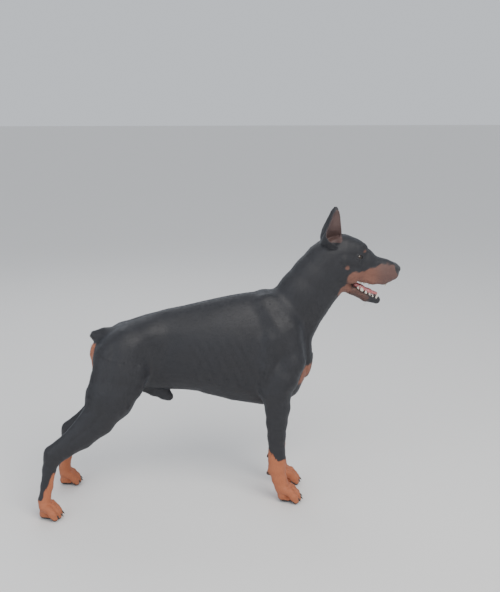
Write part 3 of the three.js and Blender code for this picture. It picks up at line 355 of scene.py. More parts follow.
def field(P):
    d = trunk_distance(P)
    for st, k, both, n in LENGTHS:
        r = max(st[:, 3].max(), st[:, 4].max()) + k + 12
        lo, hi = st[:, :3].min(0) - r, st[:, :3].max(0) + r
        y = np.abs(P[:, 1]) if both else P[:, 1]
        m = (P[:, 0] > lo[0]) & (P[:, 0] < hi[0]) & (y > lo[1]) & (y < hi[1]) & (P[:, 2] > lo[2]) & (P[:, 2] < hi[2])
        if m.any():
            d[m] = smin(d[m], along(P[m], st, both, n), k)
    d = d - forms(P) + INSET
    m = (P[:, 0] > 40) & (P[:, 2] > 640) & (P[:, 2] < 990) & (P[:, 0] < 360)
    if m.any():
        Q, dm = P[m], d[m]
        e = (Q[:, 2] > 835) & (Q[:, 0] < 170)
        if e.any():
            pit = smax(dm[e], -ear_pit(Q[e]), 6)
            dm[e] = smin(pit, ear_distance(Q[e]), 6)
        e = Q[:, 0] > 150
        if e.any():
            R_, dd = Q[e], dm[e]
            s, u, w, r, _ = eye_frame(R_)
            near = r < 45
            if near.any():
                s, u, w, r, q = s[near], u[near], w[near], r[near], R_[near]
                v = dd[near]
                hollow = np.linalg.norm(np.stack([q[:, 0], np.abs(q[:, 1]), q[:, 2]], 1) - EYE - EYE_OUT * 27 - EYE_LONG * 2, axis=1) - 17.5
                v = smax(v, -hollow, 9)
                v = smin(v, r - EYE_R - 1.5, 3.5)
                # a fold above and a fold below the eye
                arch = np.hypot(u / 1.35, w * 1.0)
                v -= 0.9 * np.exp(-((arch - 9.8) / 1.8) ** 2) * ramp(s, 1, 6) * np.where(w > 0, 1.3, 0.7)
                v = smax(v, -np.maximum(lids_open(u, w), 1.0 - s), 1.0)
                dd[near] = v
            low = R_[:, 2] < 760
            if low.any():
                dd[low] = smax(dd[low], -mouth_cut(R_[low]), 2.2)
            tip = R_[:, 0] > 305
            if tip.any():
                a, b = nostril(R_[tip])
                dd[tip] = smax(smax(dd[tip], -a, 1.6), -b, 1.4)
            dm[e] = dd
        d[m] = dm
    return np.maximum(d, 0.25 - P[:, 2])


def gradient(P, h=0.35):
    g = np.empty_like(P)
    for a in range(3):
        q = P.copy(); q[:, a] += h
        r = P.copy(); r[:, a] -= h
        g[:, a] = (field(q) - field(r)) / (2 * h)
    return g


# ------------------------------------------------------------------ meshing on a box grid with finer head and feet
def axis(parts):
    out = [parts[0][0]]
    for lo, hi, step in parts:
        n = max(1, round((hi - lo) / step))
        out += list(lo + (hi - lo) * np.arange(1, n + 1) / n)
    return np.array(out)


FINE = 1.0
AX = axis([(-905, -870, 5), (-870, -740, 3.0 * FINE), (-740, -70, 4.4 * FINE), (-70, 40, 3.2 * FINE), (40, 345, 2.4 * FINE), (345, 352, 3.5)])
AY = axis([(-188, -112, 3.4 * FINE), (-112, -66, 3.2 * FINE), (-66, 66, 2.4 * FINE), (66, 112, 3.2 * FINE), (112, 188, 3.4 * FINE)])
AZ = axis([(-6, 0, 3), (0, 72, 2.7 * FINE), (72, 650, 4.6 * FINE), (650, 978, 2.4 * FINE)])


def sample_grid():
    n = (len(AX), len(AY), len(AZ))
    D = np.full(n, 50.0, np.float32)
    B = 4
    nb = [-(-k // B) for k in n]
    centre = [np.array([a[min(i * B, len(a) - 1):min(i * B + B, len(a) - 1) + 1].mean() for i in range(m)]) for a, m in zip((AX, AY, AZ), nb)]
    X, Y, Z = np.meshgrid(*centre, indexing="ij")
    C = field(np.stack([X.ravel(), Y.ravel(), Z.ravel()], 1)).reshape(nb)
    far = np.sign(C)
    full = np.repeat(np.repeat(np.repeat(far, B, 0), B, 1), B, 2)[:n[0], :n[1], :n[2]]
    D = (full * 50).astype(np.float32)
    act = np.argwhere(np.abs(C) < 24)
    off = np.stack(np.meshgrid(*[np.arange(B)] * 3, indexing="ij"), -1).reshape(-1, 3)
    idx = (act[:, None, :] * B + off[None]).reshape(-1, 3)
    ok = (idx < np.array(n)).all(1)
    idx = idx[ok]
    P = np.stack([AX[idx[:, 0]], AY[idx[:, 1]], AZ[idx[:, 2]]], 1)
    vals = np.concatenate([field(P[i:i + 400000]) for i in range(0, len(P), 400000)])
    D[idx[:, 0], idx[:, 1], idx[:, 2]] = vals
    for a in range(3):
        s = [slice(None)] * 3
        for e in (0, -1):
            s[a] = e
            D[tuple(s)] = 5
    return D


def nets(D):
    n = D.shape
    # faces whose corners alternate are filled, so that no edge has four facets
    for _ in range(4):
        changed = 0
        for a in range(3):
            b, c = (a + 1) % 3, (a + 2) % 3
            def sl(ob, oc):
                s = [slice(0, n[k]) for k in range(3)]
                s[b] = slice(ob, n[b] - 1 + ob); s[c] = slice(oc, n[c] - 1 + oc)
                return tuple(s)
            i00, i10, i11, i01 = (D[sl(*o)] < 0 for o in ((0, 0), (1, 0), (1, 1), (0, 1)))
            m = (i00 == i11) & (i10 == i01) & (i00 != i10)
            for p in np.argwhere(m):
                q = [p.copy() for _ in range(4)]
                q[1][b] += 1; q[2][b] += 1; q[2][c] += 1; q[3][c] += 1
                outside = [tuple(w) for w in q if D[tuple(w)] >= 0]
                if len(outside) == 2:
                    w = min(outside, key=lambda t: D[t])
                    D[w] = -1e-3
                    changed += 1
        if not changed:
            break
    ins = D < 0
    c = [ins[i:n[0] - 1 + i, j:n[1] - 1 + j, k:n[2] - 1 + k] for i in (0, 1) for j in (0, 1) for k in (0, 1)]
    any_, all_ = c[0].copy(), c[0].copy()
    for w in c[1:]:
        any_ |= w; all_ &= w
    cells = np.argwhere(any_ & ~all_)
    acc, cnt = np.zeros((len(cells), 3)), np.zeros(len(cells))
    for a in range(3):
        b, c_ = [k for k in range(3) if k != a]
        for o1 in (0, 1):
            for o2 in (0, 1):
                p = cells.copy(); p[:, b] += o1; p[:, c_] += o2
                q = p.copy(); q[:, a] += 1
                d0, d1 = D[tuple(p.T)].astype(float), D[tuple(q.T)].astype(float)
                m = (d0 < 0) != (d1 < 0)
                t = np.where(m, d0 / np.where(m, d0 - d1, 1), 0)
                P0 = np.stack([AX[p[:, 0]], AY[p[:, 1]], AZ[p[:, 2]]], 1)
                P1 = np.stack([AX[q[:, 0]], AY[q[:, 1]], AZ[q[:, 2]]], 1)
                acc += (P0 + (P1 - P0) * t[:, None]) * m[:, None]
                cnt += m
    V = acc / cnt[:, None]
    idx = np.full([k - 1 for k in n], -1, np.int32)
    idx[tuple(cells.T)] = np.arange(len(cells))
    F = []
    for a in range(3):
        b1, b2 = (a + 1) % 3, (a + 2) % 3
        s0 = [slice(0, n[k]) for k in range(3)]; s1 = [slice(0, n[k]) for k in range(3)]
        s0[a] = slice(0, n[a] - 1); s1[a] = slice(1, n[a])
        m0, m1 = ins[tuple(s0)], ins[tuple(s1)]
        for flip, mm in ((0, m0 & ~m1), (1, ~m0 & m1)):
            q = np.argwhere(mm)
            q = q[(q[:, b1] > 0) & (q[:, b1] < n[b1] - 1) & (q[:, b2] > 0) & (q[:, b2] < n[b2] - 1)]
            def at(o1, o2):
                r = q.copy(); r[:, b1] -= o1; r[:, b2] -= o2
                return idx[tuple(r.T)]
            quad = np.stack([at(1, 1), at(0, 1), at(0, 0), at(1, 0)], 1)
            F.append(quad[:, ::-1] if flip else quad)
    return V, np.concatenate(F)


def slide(V, most, steps=3):
    V = V.copy()
    for _ in range(steps):
        d = field(V)
        g = gradient(V)
        L = np.maximum(np.linalg.norm(g, axis=1), 0.3)
        move = np.clip(-d / L, -most, most) * 0.85
        V += g / L[:, None] * move[:, None]
    return V


def split_quads(V, F):
    d0 = np.linalg.norm(V[F[:, 0]] - V[F[:, 2]], axis=1)
    d1 = np.linalg.norm(V[F[:, 1]] - V[F[:, 3]], axis=1)
    a = F[d0 <= d1]; b = F[d0 > d1]
    return np.concatenate([a[:, [0, 1, 2]], a[:, [0, 2, 3]], b[:, [0, 1, 3]], b[:, [1, 2, 3]]])


def refine(V, T, pick):
    edges = np.stack([T, np.roll(T, -1, 1)], 2)  # face, corner, 2
    key = np.sort(edges, 2)
    code = key[:, :, 0].astype(np.int64) * len(V) + key[:, :, 1]
    uniq, inv = np.unique(code, return_inverse=True)
    inv = inv.reshape(code.shape)
    marked = np.zeros(len(uniq), bool)
    marked[inv[pick].ravel()] = True
    new = np.full(len(uniq), -1)
    new[marked] = len(V) + np.arange(marked.sum())
    ua, ub = uniq[marked] // len(V), uniq[marked] % len(V)
    W = np.concatenate([V, (V[ua] + V[ub]) / 2])
    mk = marked[inv]
    count = mk.sum(1)
    out = [T[count == 0]]
    for e in range(3):
        m = (count == 1) & mk[:, e]
        t = np.roll(T[m], -e, 1); v = new[inv[m, e]]
        out += [np.stack([t[:, 0], v, t[:, 2]], 1), np.stack([v, t[:, 1], t[:, 2]], 1)]
        m = (count == 2) & ~mk[:, e]
        t = np.roll(T[m], -(e + 1), 1)
        v01, v12 = new[inv[m, (e + 1) % 3]], new[inv[m, (e + 2) % 3]]
        out += [np.stack([v01, t[:, 1], v12], 1), np.stack([t[:, 0], v01, v12], 1), np.stack([t[:, 0], v12, t[:, 2]], 1)]
    m = count == 3
    t, v = T[m], new[inv[m]]
    out += [np.stack([t[:, 0], v[:, 0], v[:, 2]], 1), np.stack([v[:, 0], t[:, 1], v[:, 1]], 1),
            np.stack([v[:, 2], v[:, 1], t[:, 2]], 1), v]
    return W, np.concatenate(out), len(V)


def fine_zone(P, level):
    q = np.stack([P[:, 0], np.abs(P[:, 1]), P[:, 2]], 1)
    eye = np.linalg.norm(q - EYE - EYE_OUT * 8, axis=1) < (17 if level == 0 else 12.5)
    nose = (q[:, 0] > (312 if level == 0 else 326)) & (q[:, 2] > 730)
    lips = (np.abs(mouth_cut(P)) < (5 if level == 0 else -1)) & (q[:, 0] > 165) & (q[:, 2] > 650) & (q[:, 2] < 745)
    ear = (q[:, 2] > 925) & (q[:, 0] < 140) & (q[:, 0] > 60) if level == 0 else np.zeros(len(P), bool)
    toes = (q[:, 2] < 40) & (q[:, 2] > 4) if level == 0 else np.zeros(len(P), bool)
    return eye | nose | lips | ear | (toes & (np.abs(P[:, 2] - 20) < 18))


import time
T0 = time.time()
V, F = nets(sample_grid())
V = slide(V, 1.4, 3)
T = split_quads(V, F)
for level in (0, 1):
    pick = fine_zone(V[T].mean(1), level)
    V, T, old = refine(V, T, pick)
    V[old:] = slide(V[old:], 1.0, 3)


def thinned(V, T, most):
    """The same surface with fewer triangles, the eyes, nose and lips kept finest."""
    me = bpy.data.meshes.new("thin")
    me.from_pydata((V / 1000).tolist(), [], T.tolist())
    o = bpy.data.objects.new("thin", me)
    bpy.context.scene.collection.objects.link(o)
    g = o.vertex_groups.new(name="w")
    face_near = np.linalg.norm(np.stack([V[:, 0], np.abs(V[:, 1]), V[:, 2]], 1) - EYE, axis=1) < 24
    face_near |= (V[:, 0] > 308) & (V[:, 2] > 700)
    head = (V[:, 2] > 690) & (V[:, 0] > 90)
    g.add(np.flatnonzero(~head).tolist(), 1.0, "REPLACE")
    g.add(np.flatnonzero(head & ~face_near).tolist(), 0.45, "REPLACE")
    g.add(np.flatnonzero(face_near).tolist(), 0.08, "REPLACE")
    d = o.modifiers.new("d", "DECIMATE")
    d.ratio = most / len(T); d.use_collapse_triangulate = True
    d.vertex_group = "w"; d.vertex_group_factor = 1.0
    done = o.evaluated_get(bpy.context.evaluated_depsgraph_get()).to_mesh()
    done.calc_loop_triangles()
    v = np.empty(len(done.vertices) * 3); done.vertices.foreach_get("co", v)
    f = np.empty(len(done.loop_triangles) * 3, np.int32); done.loop_triangles.foreach_get("vertices", f)
    v, f = v.reshape(-1, 3) * 1000, f.reshape(-1, 3)
    bpy.data.objects.remove(o); bpy.data.meshes.remove(me)
    return v, f


print("full skin", len(V), len(T), round(time.time() - T0, 1), "s")
V, T = thinned(V, T, 188000)
V = slide(V, 0.8, 2)
print("skin", len(V), len(T), round(time.time() - T0, 1), "s")

NORMAL = gradient(V)
NORMAL /= np.maximum(np.linalg.norm(NORMAL, axis=1), 1e-6)[:, None]


# ------------------------------------------------------------------ markings
def noise(P, scale, seed):
    """A smooth value from -1 to 1 that wanders over space."""
    rng = np.random.default_rng(seed)
    out = np.zeros(len(P))
    for _ in range(7):
        k = rng.normal(size=3); k /= np.linalg.norm(k)
        out += np.sin((P @ k) * 2 * math.pi / (scale * rng.uniform(0.6, 1.6)) + rng.uniform(0, 6.28))
    return out / 3.2


def soft(v, w):
    return 1 / (1 + np.exp(-np.clip(v / w, -30, 30) * 2))


def rust(P, N):
    x, y, z = P[:, 0], P[:, 1], P[:, 2]
    ay = np.abs(y)
    s = np.where(y < 0, -1, 1)
    edge = noise(P, 22, 3) * 3.5
    m = np.zeros(len(P))
    # forelegs
    fx = np.where(s < 0, FORE[-1][0], FORE[1][0]); fy = np.where(s < 0, FORE[-1][1], FORE[1][1])
    back = np.clip(-(x - fx) / 25, 0, 1)
    inner = np.clip((fy - ay) / 20, 0, 1)
    zt = 153 + 34 * back + 40 * inner * (1 - back)
    leg = soft(zt - z + edge, 5) * (x > -170) * (x < 60)
    m = np.maximum(m, leg)
    # hind legs
    hx = np.where(s < 0, HIND[-1]["foot"][0], HIND[1]["foot"][0])
    hy = np.where(s < 0, 97, np.interp(z, [42, 205], [152, 118]))
    out = np.clip((ay - hy) / 14, -1, 1)
    dx = x - hx
    line = (dx - (29 - (152 - z) * 0.49)) * 0.9  # in front of the black wedge
    wedge = line + np.clip(-out, 0, 1) * 30 + np.clip(70 - z, 0, 40) * 1.6
    top = 156 + 46 * np.clip(-out * 1.3, 0, 1)
    hind = soft(np.minimum(wedge, top - z) + edge, 5) * (x < -640) * (z < 260)
    m = np.maximum(m, hind)
    # under the tail, and inside the thighs
    vent = np.minimum(-(x + 641 + (545 - z) * 0.3), np.minimum(z - 466, 550 - z)) - np.clip(ay - 30, 0, 99)
    m = np.maximum(m, soft(vent + edge, 4) * (z > 420))
    thigh = np.minimum(np.minimum(-(x + 560), 58 - ay), np.minimum(z - 330, 498 - z))
    m = np.maximum(m, soft(thigh + edge * 2, 7) * (N[:, 1] * s < -0.2) * (x < -540))
    # breast
    chest = 19 - np.hypot((z - 430) * 0.62, (ay - 36) * 1.0)
    m = np.maximum(m, soft(chest + edge, 4) * (x > -34) * (z < 500) * (z > 360) * (N[:, 0] > 0.05))
    # head: cheeks, muzzle, throat
    zu = np.interp(x, [120, 150, 165, 200, 230, 258, 285, 315, 345], [742, 756, 765, 769, 773, 783, 789, 786, 778])
    side = np.minimum(zu - z, (x - 148) * 0.8 + (z - 735) * 0.15)
    bridge = (ay - 15) * 1.4 + (770 - z) * 0.4
    muzzle = np.minimum(side, np.maximum(bridge, (776 - z)))
    head = soft(muzzle + edge, 8)
    jaw = (along(P, np.array([[150, 0, 704, 26, 32], [220, 0, 675, 18, 26], [262, 0, 662, 14, 22]], float), True) < 4) & (z < 716) & (x > 156)
    throat = soft(np.minimum(np.minimum(x - 122, 166 - x), 722 - z) - np.clip(ay - 34, 0, 60) + edge, 7) * 0.8
    head = np.where(jaw, soft(-(x - 236) - np.clip(z - 690, 0, 60) * 0.2, 12) * 0.5, head)
    head = np.maximum(head, throat) * (x > 80) * (z > 640)
    m = np.maximum(m, head)
    q = np.stack([x, ay, z], 1)
    brow = 8.5 - np.linalg.norm((q - np.array([200, 30, 831])) * [0.8, 0.55, 1.15], axis=1)
    m = np.maximum(m, soft(brow + edge * 0.5, 3.2) * 0.72)
    cheek = 8.0 - np.linalg.norm((q - np.array([147, 56, 783])) * [0.9, 0.4, 1], axis=1)
    m = np.maximum(m, soft(cheek + edge * 0.5, 4) * 0.62)
    return np.clip(m, 0, 1)


def labels(P, N):
    """mouth lining, lips and rims, pads, inside of the ears"""
    x, y, z = P[:, 0], P[:, 1], P[:, 2]
    near = (x > 160) & (z > 640) & (z < 765)
    cut = np.full(len(P), 50.0)
    cut[near] = mouth_cut(P[near])
    mouth = soft(0.9 - cut, 0.5) * near
    lip = soft(5.0 - cut, 1.2) * near * (1 - mouth)
    s, u, w, r, _ = eye_frame(P)
    rim = soft(EYE_R + 2.2 - r, 0.6) * (lids_open(u, w) < 1.7) * (s > 0)
    lip = np.maximum(lip, rim)
    pad = soft(13 - z, 2) * (N[:, 2] < -0.35)
    wrist = np.zeros(len(P))
    for sd in (-1, 1):
        c = np.array([FORE[sd][0] - 27, sd * FORE[sd][1], 102])
        wrist = np.maximum(wrist, soft(9 - np.linalg.norm(P - c, axis=1), 1.5) * (N[:, 0] < 0.1))
    pad = np.maximum(pad, wrist)
    ear = np.zeros(len(P))
    e = (z > 862) & (x < 170) & (x > 50)
    if e.any():
        zc, alpha, R, thick, lat, fro, _ = ear_frame(P[e])
        ear[e] = soft(R - np.hypot(lat, fro), 0.6) * (fro > -R * 1.05)
    return mouth, lip, pad, ear


def lie(P, N):
    """The way the coat lies, along the surface."""
    x, y, z = P[:, 0], P[:, 1], P[:, 2]
    s = np.sign(y)
    F = np.zeros_like(P)
    F[:, 0] = -1; F[:, 2] = -0.28 * ramp(np.abs(N[:, 1]), 0.2, 0.9)
    def mixin(w, v):
        v = np.broadcast_to(np.asarray(v, float), F.shape)
        F[:] = F * (1 - w[:, None]) + v * w[:, None]
    mixin(ramp(x, -60, 20) * ramp(z, 480, 560), [-0.62, 0, -0.78])  # neck
    mixin(ramp(x, -40, 10) * (1 - ramp(z, 480, 560)), [-0.25, 0, -0.97])  # breast
    mixin((x > -200) * (1 - ramp(z, 350, 430)) * ramp(x, -190, -150), [-0.12, 0, -1])  # forelegs
    mixin((x < -480) * (1 - ramp(x, -560, -500)) * (1 - ramp(z, 440, 560)), [-0.45, 0, -0.9])  # thighs
    mixin((x < -560) * (1 - ramp(z, 220, 330)), [-0.15, 0, -1])
    mixin((z < 70) * 1.0, [0.55, 0, -0.83])
    headw = ramp(x + (z - 780) * 0.45, 92, 130) * ramp(z, 640, 665)
    mixin(headw, [-1, 0, -0.12])
    ear = (ramp(z, 862, 880) * (x < 165))
    mixin(ear, [0.18, 0, 1])
    F -= N * (F * N).sum(1)[:, None]
    L = np.linalg.norm(F, axis=1)
    F[L < 1e-3] = [0, 0, -1]
    return F / np.maximum(np.linalg.norm(F, axis=1), 1e-6)[:, None]


# ------------------------------------------------------------------ materials
def material(name):
    m = bpy.data.materials.new(name)
    m.use_nodes = True
    t = m.node_tree
    b = t.nodes["Principled BSDF"]
    return m, t, b


def coat_material(name, bump, streaky):
    m, t, b = material(name)
    N, L = t.nodes, t.links

    def attribute(a):
        n = N.new("ShaderNodeAttribute"); n.attribute_name = a
        return n.outputs["Fac"]

    def mix(fac, c1, c2):
        n = N.new("ShaderNodeMix"); n.data_type = "RGBA"
        for sock, v in ((n.inputs[0], fac), (n.inputs[6], c1), (n.inputs[7], c2)):
            if isinstance(v, bpy.types.NodeSocket):
                L.new(v, sock)
            else:
                sock.default_value = v
        return n.outputs[2]

    def calc(op, a, c=None):
        n = N.new("ShaderNodeMath"); n.operation = op; n.use_clamp = op != "MULTIPLY_ADD"
        for sock, v in zip(n.inputs, (a, c)):
            if v is None:
                continue
            if isinstance(v, bpy.types.NodeSocket):
                L.new(v, sock)
            else:
                sock.default_value = v
        return n.outputs[0]

    geo = N.new("ShaderNodeTexCoord").outputs["Object"]

    def streaks(scale, detail=3.0):
        mp = N.new("ShaderNodeMapping"); mp.inputs["Scale"].default_value = scale
        L.new(geo, mp.inputs["Vector"])
        n = N.new("ShaderNodeTexNoise"); n.inputs["Scale"].default_value = 1.0; n.inputs["Detail"].default_value = detail
        L.new(mp.outputs[0], n.inputs["Vector"])
        return n.outputs["Fac"]

    def blend(fac, a, c):
        n = N.new("ShaderNodeMix"); n.data_type = "FLOAT"
        L.new(fac, n.inputs[0]); L.new(a, n.inputs[2]); L.new(c, n.inputs[3])
        return n.outputs[0]
    down = attribute("down")
    hair = blend(down, streaks((90, 620, 620)), streaks((620, 620, 90)))
    broad = blend(down, streaks((12, 60, 60), 2.0), streaks((60, 60, 12), 2.0))
    patch = N.new("ShaderNodeTexNoise"); patch.inputs["Scale"].default_value = 14; patch.inputs["Detail"].default_value = 3
    L.new(geo, patch.inputs["Vector"])
    rust_a = attribute("rust")
    rough_edge = N.new("ShaderNodeMath"); rough_edge.operation = "MULTIPLY_ADD"
    L.new(hair, rough_edge.inputs[0]); rough_edge.inputs[1].default_value = 0.5; rough_edge.inputs[2].default_value = -0.25
    addn = N.new("ShaderNodeMath"); addn.operation = "ADD"; addn.use_clamp = True
    L.new(rust_a, addn.inputs[0]); L.new(rough_edge.outputs[0], addn.inputs[1])
    rust_s = N.new("ShaderNodeMapRange"); rust_s.inputs[1].default_value = 0.3; rust_s.inputs[2].default_value = 0.7; rust_s.interpolation_type = "SMOOTHSTEP"
    L.new(addn.outputs[0], rust_s.inputs[0])
    black = mix(hair, (0.0095, 0.0100, 0.0125, 1), (0.026, 0.0275, 0.034, 1))
    black = mix(calc("MULTIPLY", patch.outputs["Fac"], 0.5), black, (0.020, 0.018, 0.019, 1))
    red = mix(hair, (0.30, 0.088, 0.036, 1), (0.56, 0.185, 0.082, 1))
    red = mix(calc("MULTIPLY", broad, 0.45), red, (0.36, 0.118, 0.052, 1))
    red = mix(attribute("mauve"), red, mix(hair, (0.080, 0.043, 0.037, 1), (0.155, 0.084, 0.070, 1)))
    colour = mix(rust_s.outputs[0], black, red)
    colour = mix(attribute("earin"), colour, mix(patch.outputs["Fac"], (0.060, 0.036, 0.034, 1), (0.125, 0.076, 0.068, 1)))
    colour = mix(attribute("lip"), colour, (0.012, 0.011, 0.012, 1))
    colour = mix(attribute("mouth"), colour, mix(patch.outputs["Fac"], (0.16, 0.030, 0.030, 1), (0.30, 0.085, 0.080, 1)))
    colour = mix(attribute("pad"), colour, (0.018, 0.016, 0.016, 1))
    L.new(colour, b.inputs["Base Color"])
    # roughness: glossy black, duller rust, wet mouth
    rr = N.new("ShaderNodeMapRange"); L.new(hair, rr.inputs[0]); rr.inputs[3].default_value = 0.44; rr.inputs[4].default_value = 0.64
    rm = N.new("ShaderNodeMix"); rm.data_type = "FLOAT"; L.new(rust_s.outputs[0], rm.inputs[0]); L.new(rr.outputs[0], rm.inputs[2]); rm.inputs[3].default_value = 0.62
    wet = N.new("ShaderNodeMix"); wet.data_type = "FLOAT"; L.new(attribute("mouth"), wet.inputs[0]); L.new(rm.outputs[0], wet.inputs[2]); wet.inputs[3].default_value = 0.22
    L.new(wet.outputs[0], b.inputs["Roughness"])
    b.inputs["Specular IOR Level"].default_value = 0.42
    b.inputs["Sheen Weight"].default_value = 0.07
    b.inputs["Sheen Roughness"].default_value = 0.45
    b.inputs["Sheen Tint"].default_value = (0.72, 0.82, 1.0, 1)
    if bump:
        fine = N.new("ShaderNodeTexNoise"); fine.inputs["Scale"].default_value = 900
        L.new(geo, fine.inputs["Vector"])
        both = N.new("ShaderNodeMath"); both.operation = "MULTIPLY_ADD"
        L.new(broad, both.inputs[0]); both.inputs[1].default_value = 1.2; L.new(hair, both.inputs[2])
        bp = N.new("ShaderNodeBump"); bp.inputs["Strength"].default_value = bump; bp.inputs["Distance"].default_value = 0.0012
        L.new(both.outputs[0], bp.inputs["Height"])
        L.new(bp.outputs[0], b.inputs["Normal"])
    return m


def plain_material(name, dark, light, scale, rough, bump=0.0, distance=0.0005, coat=0.0, specular=0.5, stretch=None, subsurface=0.0):
    m, t, b = material(name)
    N, L = t.nodes, t.links
    geo = N.new("ShaderNodeTexCoord").outputs["Object"]
    if stretch:
        mp = N.new("ShaderNodeMapping"); mp.inputs["Scale"].default_value = stretch
        L.new(geo, mp.inputs["Vector"]); geo = mp.outputs[0]
    n = N.new("ShaderNodeTexNoise"); n.inputs["Scale"].default_value = scale; n.inputs["Detail"].default_value = 4
    L.new(geo, n.inputs["Vector"])
    r = N.new("ShaderNodeValToRGB")
    r.color_ramp.elements[0].color = (*dark, 1); r.color_ramp.elements[1].color = (*light, 1)
    r.color_ramp.elements[0].position = 0.3; r.color_ramp.elements[1].position = 0.7
    L.new(n.outputs["Fac"], r.inputs[0]); L.new(r.outputs[0], b.inputs["Base Color"])
    rr = N.new("ShaderNodeMapRange"); L.new(n.outputs["Fac"], rr.inputs[0])
    rr.inputs[3].default_value = max(rough - 0.06, 0.02); rr.inputs[4].default_value = rough + 0.06
    L.new(rr.outputs[0], b.inputs["Roughness"])
    b.inputs["Specular IOR Level"].default_value = specular
    b.inputs["Coat Weight"].default_value = coat
    b.inputs["Coat Roughness"].default_value = 0.08
    if subsurface:
        b.inputs["Subsurface Weight"].default_value = subsurface
        b.inputs["Subsurface Radius"].default_value = (0.004, 0.0015, 0.001)
    if bump:
        bp = N.new("ShaderNodeBump"); bp.inputs["Strength"].default_value = bump; bp.inputs["Distance"].default_value = distance
        v = N.new("ShaderNodeTexVoronoi"); v.inputs["Scale"].default_value = scale * 2.2
        L.new(geo, v.inputs["Vector"]); L.new(v.outputs["Distance"], bp.inputs["Height"]); L.new(bp.outputs[0], b.inputs["Normal"])
    return m


def new_object(name, V, faces, mat, smooth=True, attributes=None, normals=None):
    """V in sketch millimetres. faces: array of triangles or list."""
    me = bpy.data.meshes.new(name)
    co = ((np.asarray(V, float) - ORIGIN) / 1000).astype(np.float32)
    F = np.asarray(faces)
    me.vertices.add(len(co)); me.vertices.foreach_set("co", co.ravel())
    me.loops.add(F.size); me.loops.foreach_set("vertex_index", F.ravel().astype(np.int32))
    me.polygons.add(len(F))
    me.polygons.foreach_set("loop_start", np.arange(0, F.size, F.shape[1], dtype=np.int32))
    me.polygons.foreach_set("loop_total", np.full(len(F), F.shape[1], np.int32))
    me.update(calc_edges=True)
    me.validate()
    me.polygons.foreach_set("use_smooth", np.full(len(me.polygons), smooth, bool))
    for k, v in (attributes or {}).items():
        a = me.attributes.new(k, "FLOAT", "POINT"); a.data.foreach_set("value", np.asarray(v, np.float32))
    me.materials.append(mat)
    if normals is not None:
        me.normals_split_custom_set_from_vertices(np.asarray(normals, float).tolist())
    o = bpy.data.objects.new(name, me)
    bpy.context.scene.collection.objects.link(o)
    return o


# ------------------------------------------------------------------ the skin and the nose
def attributes_of(P, N):
    mouth, lip, pad, ear = labels(P, N)
    F = lie(P, N)
    mauve = (0.80 + 0.20 * ramp(P[:, 0], 225, 280)) * (P[:, 2] > 640) * (P[:, 0] > 80)
    mauve = np.maximum(mauve, 0.6 * (P[:, 0] > -60) * (P[:, 2] > 350) * (P[:, 2] < 520))  # breast
    return dict(rust=rust(P, N), mouth=mouth, lip=lip, pad=pad, earin=ear, down=np.clip(np.abs(F[:, 2]) * 1.3 - 0.15, 0, 1), mauve=mauve)


SKIN_ATT = attributes_of(V, NORMAL)
MAT_SKIN = coat_material("short_coat_skin", 0.55, True)
MAT_TUFT = coat_material("short_coat_tufts", 0.0, False)
MAT_NOSE = plain_material("nose_leather", (0.010, 0.010, 0.011), (0.024, 0.024, 0.027), 520, 0.34, bump=0.6, distance=0.0007, coat=0.35)

C = V[T].mean(1)
line = np.where(C[:, 2] > 764, 309 + (800 - C[:, 2]) / 36 * 5, 314 + (764 - C[:, 2]) / 14 * 9)
is_nose = (C[:, 0] > line) & (C[:, 2] > 747) & (C[:, 2] < 800)


def part_of(mask):
    t = T[mask]
    used, inv = np.unique(t.ravel(), return_inverse=True)
    return used, inv.reshape(-1, 3)


used, faces = part_of(~is_nose)
skin = new_object("skin", V[used], faces, MAT_SKIN, attributes={k: v[used] for k, v in SKIN_ATT.items()}, normals=NORMAL[used])
n_used, n_faces = part_of(is_nose)
nose = new_object("nose_leather", V[n_used], n_faces, MAT_NOSE, normals=NORMAL[n_used])
FLESH = [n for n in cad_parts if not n.startswith(("eye_", "claw_", "nose", "tongue"))]
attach(skin, "root"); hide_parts(*FLESH)
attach(nose, "root"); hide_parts("nose")


